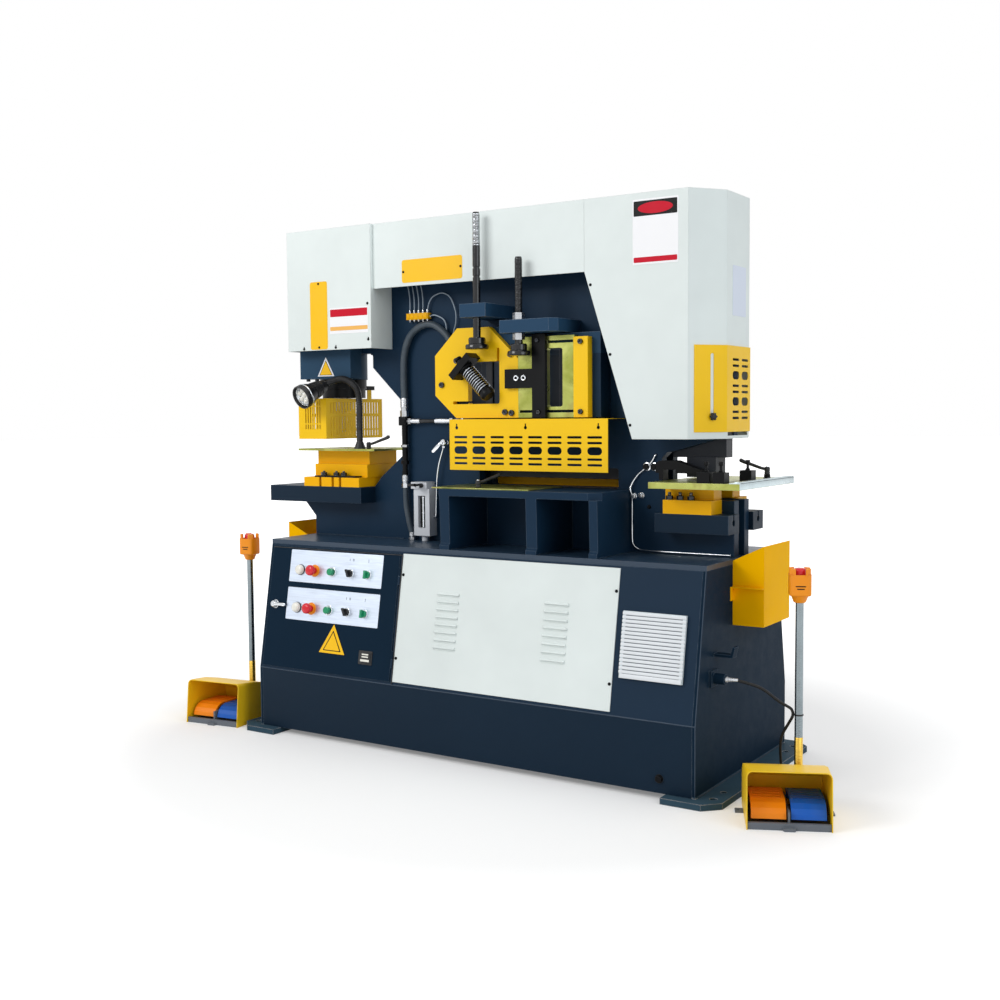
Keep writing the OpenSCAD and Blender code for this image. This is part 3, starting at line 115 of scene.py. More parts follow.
def merge(part, place, into=form):
    """Adds the part, at its place, to the form that the next piece() call takes."""
    bmesh.ops.transform(part, matrix=place, verts=part.verts)
    mesh = bpy.data.meshes.new("part")
    part.to_mesh(mesh)
    part.free()
    into.from_mesh(mesh)
    bpy.data.meshes.remove(mesh)


def turned(profile, place=HERE, n=32, into=form):
    """A turned form: its half outline, as (radius, height) points, spun about z."""
    part = bmesh.new()
    line = [part.verts.new((r, 0, z)) for r, z in profile]
    edges = [part.edges.new(pair) for pair in zip(line, line[1:])]
    bmesh.ops.spin(part, geom=line + edges, cent=(0, 0, 0), axis=(0, 0, 1), angle=2 * PI, steps=n,
                   use_merge=True)
    bmesh.ops.remove_doubles(part, verts=part.verts, dist=1e-4)
    merge(part, place, into)


def lathe(rows, place=HERE, n=32):
    """A solid turned form: its outline from the foot to the top, closed along its axis."""
    turned([(0, rows[0][1]), *rows, (0, rows[-1][1])], place, n)


def ring(rows, place=HERE, n=32):
    """A hollow turned form, whose outline closes on its first point."""
    turned([*rows, rows[0]], place, n)


def rod(r, z0, z1, place=HERE, n=32):
    """A plain round bar or disc between two heights."""
    lathe([(r, z0), (r, z1)], place, n)


def outline(part, points, z, corner=0.0):
    """A flat face from a few corners, which are rounded by corner."""
    part.faces.new([part.verts.new((x, y, z)) for x, y in points])
    if corner:
        bmesh.ops.bevel(part, geom=part.verts[:], offset=corner, offset_type="OFFSET", segments=4,
                        profile=0.5, material=-1, affect="VERTICES")
    return part.faces[:]


def eased(part, edges, offset, steps=2, **extra):
    """The edges rounded by an offset."""
    bmesh.ops.bevel(part, geom=edges, offset=offset, offset_type="OFFSET", segments=steps, profile=0.5,
                    material=-1, affect="EDGES", **extra)


def raised(part, faces, z1, z0=0.0):
    """The faces pulled up into a body."""
    grown = bmesh.ops.extrude_face_region(part, geom=faces)
    moved = [v for v in grown["geom"] if isinstance(v, bmesh.types.BMVert)]
    bmesh.ops.translate(part, vec=(0, 0, z1 - z0), verts=moved)
    bmesh.ops.recalc_face_normals(part, faces=part.faces)


def slab(points, z0, z1, place=HERE, r=1.0, steps=2, corner=0.0):
    """A plate from its outline, its edges rounded by r."""
    part = bmesh.new()
    raised(part, outline(part, points, z0, corner), z1, z0)
    if r:
        sharp = [e for e in part.edges if e.calc_face_angle(0.0) > 0.4]
        eased(part, sharp, r, steps, clamp_overlap=True)
    merge(part, place)


def rect(w, h):
    return [(-w / 2, -h / 2), (w / 2, -h / 2), (w / 2, h / 2), (-w / 2, h / 2)]


def brick(x0, x1, y0, y1, z0, z1, r=1.0, place=HERE, steps=2):
    slab([(x0, y0), (x1, y0), (x1, y1), (x0, y1)], z0, z1, place, r, steps)


def smooth(points, k):
    """A smooth route through the points, with k steps from each to the next."""
    p = [Vector(q) for q in points]
    out = []
    for i in range(len(p) - 1):
        a, b, c, d = p[max(i - 1, 0)], p[i], p[i + 1], p[min(i + 2, len(p) - 1)]
        for j in range(k):
            t = j / k
            out.append(0.5 * (2 * b + (c - a) * t + (2 * a - 5 * b + 4 * c - d) * t ** 2
                              + (3 * b - a - 3 * c + d) * t ** 3))
    return out + [p[-1]]


def on_frame(*points):
    """Places given as x, the distance in front of the frame, and the height over the base."""
    return [(x, -FRAME_Y - out, up(h)) for x, out, h in points]


def tube(path, d, place=HERE, n=12, swell=None):
    """A round tube along a route. swell gives the size of each step, as a share of d."""
    curve = bpy.data.curves.new("route", "CURVE")
    curve.dimensions = "3D"
    curve.bevel_depth = d / 2
    curve.bevel_resolution = n // 2 - 2
    curve.use_fill_caps = True
    spline = curve.splines.new("POLY")
    spline.points.add(len(path) - 1)
    for i, q in enumerate(path):
        spline.points[i].co = (*q, 1)
        spline.points[i].radius = swell(i) if swell else 1.0
    holder = bpy.data.objects.new("route", curve)
    mesh = bpy.data.meshes.new_from_object(holder)
    part = bmesh.new()
    part.from_mesh(mesh)
    bmesh.ops.remove_doubles(part, verts=part.verts, dist=1e-4)
    bpy.data.objects.remove(holder)
    bpy.data.curves.remove(curve)
    bpy.data.meshes.remove(mesh)
    merge(part, place)


def coil(r, wire, z0, z1, turns, place=HERE, steps=20, n=8):
    count = int(turns * steps)
    path = [(r * math.cos(2 * PI * i / steps), r * math.sin(2 * PI * i / steps), z0 + (z1 - z0) * i / count)
            for i in range(count + 1)]
    tube(path, wire, place, n)


def thread(r, z0, z1, pitch, place=HERE):
    """A rod with a cut thread: its core and the ridge that winds round it."""
    rod(r - 0.9, z0, z1, place, 20)
    coil(r - 0.9, 1.8, z0 + 1, z1 - 1, (z1 - z0 - 2) / pitch, place, 12, 4)


def hexagon(across, h, place, bore=0.0, collar=0.0):
    """A nut or a bolt head with its rim eased, over a round washer where collar is given."""
    part = bmesh.new()
    bmesh.ops.create_circle(part, cap_ends=not bore, segments=6, radius=across / 2 / math.cos(PI / 6))
    if bore:
        bmesh.ops.create_circle(part, segments=24, radius=bore)
        bmesh.ops.bridge_loops(part, edges=part.edges[:])
    raised(part, part.faces[:], h)
    rim = [e for e in part.edges if all(v.co.z > h - 0.01 and v.co.xy.length > across * 0.45
                                        for v in e.verts)]
    eased(part, rim, 1.1, 1)
    merge(part, place @ Matrix.Translation((0, 0, 1.5 if collar else 0)))
    if collar:
        inner = bore or 1.0
        ring([(inner, 0), (collar, 0), (collar, 1.2), (collar - 0.4, 1.6), (inner, 1.6)], place)


def driven_head(profile, key, deep, place):
    """A turned screw head whose open rim runs down into a hexagon socket."""
    part = bmesh.new()
    turned(profile, n=24, into=part)
    rim = [e for e in part.edges if e.is_boundary]
    z = profile[-1][1] - 0.4
    six = bmesh.ops.create_circle(part, segments=6, radius=key, matrix=Matrix.Translation((0, 0, z)))["verts"]
    hex_edges = [e for e in part.edges if e.verts[0] in six and e.verts[1] in six]
    bmesh.ops.bridge_loops(part, edges=rim + hex_edges)
    walls = bmesh.ops.extrude_edge_only(part, edges=hex_edges)["geom"]
    low = [v for v in walls if isinstance(v, bmesh.types.BMVert)]
    bmesh.ops.translate(part, vec=(0, 0, -deep), verts=low)
    bmesh.ops.contextual_create(part, geom=[e for e in walls if isinstance(e, bmesh.types.BMEdge)])
    merge(part, place)


def socket_screw(d, h, place):
    r = d / 2
    driven_head([(0, 0), (r, 0), (r, h * 0.82), (r * 0.93, h), (r * 0.66, h)], r * 0.56, h * 0.5, place)


def button_screw(d, h, place):
    r = d / 2
    driven_head([(0, 0), (r, 0), (r * 0.97, h * 0.35), (r * 0.8, h * 0.8), (r * 0.55, h)], r * 0.46,
                h * 0.5, place)


CREASE = math.radians(32)


def piece(name, material, body=ROOT):
    """Turns the form into a finished piece in metres that rides on a body, and empties it for the next."""
    bmesh.ops.scale(form, vec=(0.001, 0.001, 0.001), verts=form.verts)
    bmesh.ops.recalc_face_normals(form, faces=form.faces)
    for f in form.faces:
        f.smooth = True
    for e in form.edges:
        if len(e.link_faces) == 2 and e.calc_face_angle() > CREASE:
            e.smooth = False
    mesh = bpy.data.meshes.new(name)
    form.to_mesh(mesh)
    form.clear()
    o = bpy.data.objects.new(name, mesh)
    bpy.context.scene.collection.objects.link(o)
    mesh.materials.append(material)
    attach(o, ROOT if body == ROOT else body + "_body")
    return o


# ---- materials -------------------------------------------------------------


def tone(r, g, b):
    """A colour given in display values."""
    return tuple(c / 255 / 12.92 if c <= 10 else ((c / 255 + 0.055) / 1.055) ** 2.4
                 for c in (r, g, b)) + (1.0,)


def node(tree, kind, ins=None, **props):
    """A shader node, with its inputs set to values or linked to other nodes."""
    n = tree.nodes.new("ShaderNode" + kind)
    for k, v in props.items():
        setattr(n, k, v)
    for k, v in (ins or {}).items():
        if isinstance(v, bpy.types.NodeSocket):
            tree.links.new(v, n.inputs[k])
        else:
            n.inputs[k].default_value = v
    return n


def math_node(tree, op, a, b=0.0, c=0.0):
    return node(tree, "Math", {0: a, 1: b, 2: c}, operation=op).outputs[0]


def spread(tree, value, a, b, c, d):
    """The value carried over from the span a to b onto the span c to d."""
    return node(tree, "MapRange", {"Value": value, "From Min": a, "From Max": b, "To Min": c,
                                   "To Max": d}).outputs[0]


def mixed(tree, factor, a, b, how="MIX"):
    """Two colours mixed by a factor."""
    n = node(tree, "Mix", data_type="RGBA", blend_type=how)
    for socket, v in ((n.inputs[0], factor), (n.inputs[6], a), (n.inputs[7], b)):
        if isinstance(v, bpy.types.NodeSocket):
            tree.links.new(v, socket)
        else:
            socket.default_value = v
    return n.outputs[2]


def effect(name, inputs):
    """A node group with colour and number inputs, and Color, Roughness and Normal out."""
    tree = bpy.data.node_groups.new(name, "ShaderNodeTree")
    for label, kind, value in inputs:
        s = tree.interface.new_socket(name=label, in_out="INPUT", socket_type="NodeSocket" + kind)
        s.default_value = value
    for label, kind in (("Color", "Color"), ("Roughness", "Float"), ("Normal", "Vector")):
        tree.interface.new_socket(name=label, in_out="OUTPUT", socket_type="NodeSocket" + kind)
    ins = tree.nodes.new("NodeGroupInput").outputs
    return tree, ins, tree.nodes.new("NodeGroupOutput").inputs


def edge_mask(tree, radius):
    """The rounded normal near an edge, and how near the edge is."""
    bevel = node(tree, "Bevel", {"Radius": radius}, samples=4)
    true = node(tree, "NewGeometry")
    dot = node(tree, "VectorMath", {0: bevel.outputs[0], 1: true.outputs["Normal"]}, operation="DOT_PRODUCT")
    return bevel.outputs[0], spread(tree, dot.outputs["Value"], 0.985, 0.8, 0.0, 1.0)


def here_in(tree):
    """The place on the object itself."""
    return node(tree, "TexCoord").outputs["Object"]


def noise(tree, vector, scale, detail, **ins):
    settings = {"Vector": vector, "Scale": scale, "Detail": detail}
    settings.update({k.capitalize(): v for k, v in ins.items()})
    return node(tree, "TexNoise", settings).outputs[0]


def streaks(tree, place, stretch, detail):
    """Noise drawn out along one way, as grinding and brushing leave it."""
    drawn = node(tree, "VectorMath", {0: place, 1: stretch}, operation="MULTIPLY").outputs[0]
    return noise(tree, drawn, 1.0, detail)


def shaded(tree, tone_socket, value, *span):
    """The tone made a little darker or lighter by a noise."""
    shade = spread(tree, value, *span)
    grey = node(tree, "CombineXYZ", {0: shade, 1: shade, 2: shade}).outputs[0]
    return mixed(tree, 1.0, tone_socket, grey, "MULTIPLY")


def give(tree, out, colour, rough, height, strength, distance, normal):
    """Links the three outputs of an effect, with a fine bump over the normal."""
    tree.links.new(colour, out["Color"])
    tree.links.new(rough, out["Roughness"])
    ins = {"Height": height, "Strength": strength, "Distance": distance, "Normal": normal}
    tree.links.new(node(tree, "Bump", ins).outputs[0], out["Normal"])


def film_effect():
    """Paint: a little uneven in tone, with orange peel, and lighter along its edges: partly worn paint,
    partly a painted highlight.
    """
    tree, ins, out = effect("paint_film", [
        ("Tone", "Color", (1, 1, 1, 1)), ("Edge", "Color", (1, 1, 1, 1)), ("Wear and sheen", "Float", 0.5),
        ("Radius", "Float", 0.002), ("Peel", "Float", 0.2), ("Rough", "Float", 0.35)])
    place = here_in(tree)
    broad = noise(tree, place, 1.7, 4.0, roughness=0.6)
    fine = noise(tree, place, 330.0, 2.0)
    smear = noise(tree, place, 26.0, 6.0, roughness=0.7)
    rounded, mask = edge_mask(tree, ins["Radius"])
    # the edges are mixed towards the Edge tone and broken up by a smear noise: worn paint together with a
    # painted highlight
    worn_and_lit = math_node(tree, "MULTIPLY", mask, spread(tree, smear, 0.35, 0.6, 0.35, 1.0))
    worn_and_lit = math_node(tree, "MULTIPLY", worn_and_lit, ins["Wear and sheen"])
    colour = mixed(tree, worn_and_lit, shaded(tree, ins["Tone"], broad, 0.3, 0.7, 0.93, 1.06), ins["Edge"])
    rough = math_node(tree, "ADD", ins["Rough"], spread(tree, smear, 0.3, 0.7, -0.05, 0.06))
    give(tree, out, colour, rough, fine, ins["Peel"], 0.0004, rounded)
    return tree


def steel_effect():
    """Machined or brushed metal: fine streaks along one way, stains, and edges lightened as a painted
    highlight.
    """
    tree, ins, out = effect("steel_finish", [
        ("Tone", "Color", (1, 1, 1, 1)), ("Stain", "Color", (0.5, 0.5, 0.5, 1)), ("Stains", "Float", 0.3),
        ("Streak", "Vector", (60, 60, 900)), ("Radius", "Float", 0.001), ("Rough", "Float", 0.3)])
    place = here_in(tree)
    streak = streaks(tree, place, ins["Streak"], 3.0)
    cloud = noise(tree, place, 18.0, 6.0, roughness=0.65)
    rounded, mask = edge_mask(tree, ins["Radius"])
    stained = math_node(tree, "MULTIPLY", spread(tree, cloud, 0.42, 0.68, 0.0, 1.0), ins["Stains"])
    colour = mixed(tree, stained, shaded(tree, ins["Tone"], streak, 0.25, 0.75, 0.86, 1.1), ins["Stain"])
    # painted highlight: the edges are mixed towards a pale grey
    colour = mixed(tree, math_node(tree, "MULTIPLY", mask, 0.35), colour, (0.85, 0.86, 0.88, 1))
    rough = math_node(tree, "ADD", ins["Rough"], spread(tree, streak, 0.3, 0.7, -0.08, 0.1))
    rough = math_node(tree, "MULTIPLY_ADD", stained, 0.2, rough)
    give(tree, out, colour, rough, streak, 0.12, 0.0003, rounded)
    return tree


def zinc_effect():
    """Yellow passivated zinc: olive, straw and rose clouds over fine grinding marks."""
    tree, ins, out = effect("zinc_finish", [
        ("Tone", "Color", (1, 1, 1, 1)), ("Cloud", "Color", (1, 1, 1, 1)), ("Rose", "Color", (1, 1, 1, 1)),
        ("Rough", "Float", 0.35)])
    place = here_in(tree)
    cloud = noise(tree, place, 7.0, 5.0, roughness=0.6, distortion=0.8)
    spots = noise(tree, place, 19.0, 4.0)
    streak = streaks(tree, place, (40, 900, 900), 2.0)
    rounded, mask = edge_mask(tree, 0.0015)
    colour = mixed(tree, spread(tree, cloud, 0.38, 0.62, 0.0, 1.0), ins["Tone"], ins["Cloud"])
    colour = mixed(tree, spread(tree, spots, 0.55, 0.72, 0.0, 0.6), colour, ins["Rose"])
    # painted highlight: the edges are mixed towards a pale straw grey
    colour = mixed(tree, math_node(tree, "MULTIPLY", mask, 0.3), colour, (0.8, 0.82, 0.75, 1))
    rough = math_node(tree, "ADD", ins["Rough"], spread(tree, spots, 0.3, 0.7, -0.1, 0.12))
    give(tree, out, colour, rough, streak, 0.1, 0.0003, rounded)
    return tree


def grain_effect():
    """Moulded plastic or rubber: fine matt grain, faint flow marks and dust, and edges lightened as a painted
    highlight.
    """
    tree, ins, out = effect("moulded_grain", [
        ("Tone", "Color", (1, 1, 1, 1)), ("Dust", "Color", (0.5, 0.5, 0.5, 1)), ("Dusty", "Float", 0.1),
        ("Depth", "Float", 0.3), ("Grain", "Float", 900.0), ("Rough", "Float", 0.4)])
    place = here_in(tree)
    fine = noise(tree, place, ins["Grain"], 2.0)
    cloud = noise(tree, place, 22.0, 5.0, roughness=0.6)
    rounded, mask = edge_mask(tree, 0.001)
    dusty = math_node(tree, "MULTIPLY", spread(tree, cloud, 0.4, 0.7, 0.0, 1.0), ins["Dusty"])
    # the edges are mixed towards the dust tone too: a painted highlight along with the dust
    dusty = math_node(tree, "MULTIPLY_ADD", mask, 0.12, dusty)
    rough = math_node(tree, "ADD", ins["Rough"], spread(tree, cloud, 0.3, 0.7, -0.05, 0.08))
    give(tree, out, mixed(tree, dusty, ins["Tone"], ins["Dust"]), rough, fine, ins["Depth"], 0.0002, rounded)
    return tree


FILM, STEEL, ZINC, GRAIN = film_effect(), steel_effect(), zinc_effect(), grain_effect()


def material(name, group, ins, metallic=0.0, **principled):
    m = bpy.data.materials.new(name)
    m.use_nodes = True
    tree = m.node_tree
    tree.nodes.clear()
    g = tree.nodes.new("ShaderNodeGroup")
    g.node_tree = group
    for k, v in ins.items():
        g.inputs[k].default_value = v
    sockets = {"Base Color": g.outputs["Color"], "Roughness": g.outputs["Roughness"],
               "Normal": g.outputs["Normal"], "Metallic": metallic}
    sockets.update({k.replace("_", " "): v for k, v in principled.items()})
    shader = node(tree, "BsdfPrincipled", sockets)
    tree.links.new(shader.outputs[0], node(tree, "OutputMaterial").inputs["Surface"])
    return m


# edge is the tone mixed in along edges: worn paint and a painted highlight both
def paint(name, colour, edge, wear_and_sheen=0.5, rough=0.34, radius=0.002, peel=0.2, gloss=0.5):
    return material(name, FILM, {"Tone": tone(*colour), "Edge": tone(*edge), "Wear and sheen": wear_and_sheen,
                                 "Radius": radius, "Peel": peel, "Rough": rough}, Specular_IOR_Level=gloss)


def metal(name, colour, stain, rough=0.3, stains=0.3, streak=(60, 60, 900), radius=0.001):
    return material(name, STEEL, {"Tone": tone(*colour), "Stain": tone(*stain), "Stains": stains,
                                  "Streak": streak, "Radius": radius, "Rough": rough}, metallic=1.0)


def plastic(name, colour, rough=0.4, depth=0.25, grain=900.0, dusty=0.08, gloss=0.3, **extra):
    return material(name, GRAIN, {"Tone": tone(*colour), "Dust": tone(150, 152, 155), "Dusty": dusty,
                                  "Depth": depth, "Grain": grain, "Rough": rough},
                    Specular_IOR_Level=gloss, **extra)


# the lighter tone along the edges of the navy paints: worn paint and a painted highlight
EDGE = (96, 112, 128)
navy = paint("navy_paint", (18, 37, 54), EDGE, 0.8, 0.42, 0.004, gloss=0.1)
navy_matt = paint("navy_matt_paint", (18, 37, 54), EDGE, 0.8, 0.5, 0.004, gloss=0.03)
# a lighter, glossier copy of the navy for the top of the base and its edge beads: painted light where the top
# faces catch the light
navy_lit_top = paint("navy_top_lit_paint", (36, 56, 76), EDGE, rough=0.34, gloss=0.4)
navy_frame = paint("navy_frame_paint", (22, 46, 68), EDGE, 0.8, 0.42, 0.004, gloss=0.1)
navy_panel = paint("navy_panel_paint", (27, 46, 65), EDGE, 0.8, 0.42, 0.004, gloss=0.1)
navy_head = paint("navy_head_paint", (42, 70, 94), EDGE, rough=0.42, gloss=0.1)
cream = paint("cream_paint", (228, 236, 234), (244, 247, 244), 0.5, 0.46, 0.003, 0.12, gloss=0.3)
white_paint = paint("grille_paint", (230, 234, 238), (245, 246, 248), 0.4, 0.4)
yellow = paint("yellow_paint", (252, 202, 0), (255, 222, 70), 0.5, 0.4, 0.0015, gloss=0.3)
bin_yellow = paint("bin_paint", (255, 190, 0), (255, 214, 70), 0.5, 0.4, 0.0015, gloss=0.02)
die_yellow = paint("die_paint", (251, 184, 0), (255, 205, 70), 0.6, 0.36, 0.002, gloss=0.15)
foot_yellow = paint("foot_guard_paint", (250, 204, 24), (255, 226, 110), 0.4, 0.38, 0.002, gloss=0.35)
zinc = material("zinc_plate", ZINC, {"Tone": tone(130, 136, 56), "Cloud": tone(168, 172, 96),
                                     "Rose": tone(136, 116, 74), "Rough": 0.33}, metallic=0.85)
steel = metal("bright_steel", (196, 199, 203), (120, 118, 114), 0.28)
chrome = metal("chrome", (214, 218, 222), (170, 172, 176), 0.14, 0.1)
blade = metal("blade_steel", (150, 154, 160), (96, 92, 88), 0.34, 0.4, (900, 900, 60))
brushed = metal("brushed_panel", (205, 215, 230), (190, 202, 220), 0.36, 0.15, (14, 900, 900), 0.0006)
dark_steel = metal("dark_steel", (58, 60, 64), (30, 31, 33), 0.3, 0.4)
pole_steel = metal("pole_steel", (132, 142, 146), (96, 100, 104), 0.24, 0.2)
# a bright metal for the black spring, so each turn shows as a light line: painted highlight
spring_highlight_steel = metal("spring_highlight_steel", (176, 180, 186), (70, 72, 76), 0.24, 0.2)
rail_steel = metal("rail_steel", (186, 200, 204), (140, 152, 158), 0.3, 0.2, (900, 60, 900))
gold = metal("gold_sleeve", (224, 186, 84), (170, 132, 60), 0.28, 0.2)
brass = metal("brass", (214, 176, 96), (150, 112, 60), 0.26, 0.3)
black = paint("black_oxide", (9, 10, 12), (84, 87, 92), 0.45, 0.36, 0.0012, 0.25, gloss=0.12)
gloss_black = paint("gloss_black", (16, 17, 20), (90, 94, 100), 0.4, 0.16, 0.001, 0.05, gloss=0.5)
slide_paint = paint("slide_paint", (34, 38, 46), (96, 102, 112), 0.5, 0.4, gloss=0.2)
machine_grey = paint("motor_paint", (120, 132, 142), (190, 196, 200), 0.4, 0.42)
pump_grey = paint("pump_paint", (212, 216, 222), (220, 224, 230), 0.4, 0.42)
board = paint("electric_board", (196, 194, 186), (225, 225, 222), 0.4, 0.45)
rubber = plastic("black_rubber", (22, 22, 24), 0.52, 0.4, 700.0, 0.12)
black_plastic = plastic("black_plastic", (20, 20, 22), 0.38)
grey_plastic = plastic("grey_plastic", (104, 110, 118), 0.5)
red_plastic = plastic("red_plastic", (216, 24, 42), 0.25, 0.08, dusty=0.02, Coat_Weight=0.3)
green_plastic = plastic("green_plastic", (16, 146, 98), 0.28, 0.08, dusty=0.02, Coat_Weight=0.3)
orange_plastic = plastic("orange_plastic", (250, 140, 6), 0.4, 0.3, dusty=0.03)
blue_plastic = plastic("blue_plastic", (16, 92, 190), 0.4, 0.3, dusty=0.03)
amber_plastic = plastic("amber_plastic", (248, 150, 20), 0.36, 0.25, dusty=0.03)
card_yellow = plastic("card_yellow", (254, 198, 10), 0.36, 0.1, dusty=0.02)
label_white = plastic("label_white", (250, 250, 252), 0.36, 0.06, dusty=0.0, gloss=0.2)
label_blue = plastic("label_blue", (222, 230, 244), 0.36, 0.06, dusty=0.0, gloss=0.2)
label_red = plastic("label_red", (205, 24, 48), 0.4, 0.06, dusty=0.0, gloss=0.1)
pale_orange = plastic("pale_orange", (246, 186, 96), 0.4, 0.1, dusty=0.02)
white_plastic = plastic("white_plastic", (240, 238, 228), 0.22, 0.06, dusty=0.02, Coat_Weight=0.4)
cable_jacket = plastic("cable_jacket", (13, 13, 14), 0.46, 0.3, 600.0, 0.02)
hose_rubber = plastic("hose_rubber", (60, 72, 82), 0.42, 0.3, 700.0, 0.1)
nylon_tube = plastic("nylon_tube", (150, 164, 178), 0.3, 0.1, dusty=0.02)

LOOKS = {
    navy: ["oil_tank", "rear_sheet", "slide_cylinder", "bolsters"],
    navy_matt: ["door"],
    navy_panel: ["front_frame"],
    navy_frame: ["frame_plate_front", "frame_plate_back"],
    navy_lit_top: ["base_top"],
    navy_head: ["punch_head"],
    cream: ["left_cover", "upper_cover", "right_cover"],
    yellow: ["tool_guards", "shear_guides", "notch_guard"],
    bin_yellow: ["scrap_bins"],
    foot_yellow: ["pedal_guards"],
    die_yellow: ["die_holders"],
    zinc: ["work_tables", "bar_shear_plate"],
    blade: ["fixed_blades"],
    slide_paint: ["tool_slide"],
    black: ["clamp_bars"],
    machine_grey: ["motor_pump"],
    pump_grey: ["lube_pump"],
    board: ["electric_plate"],
    grey_plastic: ["pedal_bases"],
    orange_plastic: ["right_pedal_orange", "left_pedal_orange"],
    blue_plastic: ["right_pedal_blue", "left_pedal_blue"],
    black_plastic: ["pump_lever"],
}


def two_tone(look, name, axis, edge, below, above):
    """A paint whose tone changes at one place along an axis, given in metres."""
    m = look.copy()
    m.name = name
    tree = m.node_tree
    group = next(n for n in tree.nodes if n.type == "GROUP")
    shader = next(n for n in tree.nodes if n.type == "BSDF_PRINCIPLED")
    place = node(tree, "SeparateXYZ", {0: here_in(tree)}).outputs[axis]
    tint = mixed(tree, math_node(tree, "GREATER_THAN", place, edge), (*below, 1), (*above, 1))
    tree.links.new(mixed(tree, 1.0, group.outputs["Color"], tint, "MULTIPLY"), shader.inputs["Base Color"])
    return m


PLAIN = (1, 1, 1)

# the air inlet beside the access panel is white, the covers' brackets and the feet are a lighter navy
inlet_edge = (limits("right_cover")[0].x + 218) / 1000
LOOKS[two_tone(cream, "front_panel_paint", "X", inlet_edge, PLAIN, (0.93, 0.95, 1.0))] = ["front_panels"]
LOOKS[two_tone(navy_frame, "bracket_paint", "Z", 1.4, PLAIN, (2.2, 2.0, 1.9))] = ["frame_brackets"]
LOOKS[two_tone(navy_matt, "end_frame_paint", "Z", 0.026, (6.4, 4.2, 3.0), PLAIN)] = ["end_frames"]
for look, names in LOOKS.items():
    for name in names:
        nodes[name].data.materials.clear()
        nodes[name].data.materials.append(look)

# ---- foot switch cable -----------------------------------------------------

CABLE_ROUTE = [
    (946, -262, 372), (968, -259, 372), (990, -255, 370), (1050, -240, 353), (1100, -220, 315),
    (1129, -205, 295), (1136, -201, 286), (1138, -200, 275), (1135, -200, 263), (1121, -194, 240),
    (1100, -190, 200), (1094, -186, 156), (1095, -182, 110), (1096, -184, 68), (1101, -199, 38),
    (1111, -219, 30)]
CABLE_D = 9.0

cable_path = smooth(CABLE_ROUTE, 6)
tube(cable_path, CABLE_D, n=14)
cable = piece("foot_switch_cable", cable_jacket)
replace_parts(cable, "switch_cable")

boot = [(0, 0), (9.5, 0), (9.5, 6), (7.6, 7)]
for i in range(5):
    z = 9 + i * 5.6
    boot += [(7.6 - i * 0.5, z), (6.2 - i * 0.2, z + 0.8), (6.2 - i * 0.2, z + 3.4), (7.2 - i * 0.5, z + 4.2)]
boot += [(5.0, 38), (4.6, 40), (4.6, 2), (0, 2)]
turned(boot, at(944, -262.2, 372, ry=89, rz=7), 24)
strain_relief = piece("cable_strain_relief", steel)

# ---- panel controls --------------------------------------------------------

ELEMENT_X = [-738, -668, -584, -497, -415]
ROWS = {"upper": 382, "lower": 240}
PLATE_FACE = FACE + 0.4
WIDER = 2.5

for v in ROWS.values():
    slab(rect(443, 121), FACE, FACE + 0.6, on_front(-570, v + 14), 0.2, 1, 4)
piece("panel_plates", brushed, "door")

# the start caps are pressed down through their bezels, so these are wider
for v in ROWS.values():
    for x in ELEMENT_X[2:]:
        k = WIDER if x == ELEMENT_X[2] else 0
        ring([(11.3 + k, 0), (16.6 + k, 0), (16.6 + k, 2.6), (15.4 + k, 4), (12.8 + k, 4.4),
              (11.3 + k, 3.8)], on_front(x, v, PLATE_FACE), 36)
piece("panel_bezels", chrome, "door")

FITTINGS = [
    ("lamp_rings", 0, black_plastic, [(13, 0), (20.4, 0), (20.4, 2.6), (19.4, 3.6), (13, 3.6), (13, 0)]),
    ("stop_collars", 1, amber_plastic, [(11.2, 0), (23, 0), (23, 1.6), (21.8, 2.6), (16, 3.2), (15, 4.2),
                                        (12.6, 4.2), (11.2, 3.4), (11.2, 0)]),
    ("panel_lamps", 0, white_plastic, [(0, 0), (18.4, 0), (18.4, 9), (17.4, 12.4), (14, 15.6), (8, 17.6),
                                       (0, 18.2)]),
]
for name, column, look, rows in FITTINGS:
    for v in ROWS.values():
        turned(rows, on_front(ELEMENT_X[column], v, PLATE_FACE), 40)
    piece(name, look, "door")

for v in ROWS.values():
    for x, w, h in ((-503, 1.6, 9), (-488, 1.6, 9), (-484, 1.6, 9), (-415, 1.6, 12)):
        slab(rect(w, h), FACE + 0.5, FACE + 0.75, on_front(x, v + 50), 0)
piece("panel_marks", black, "door")

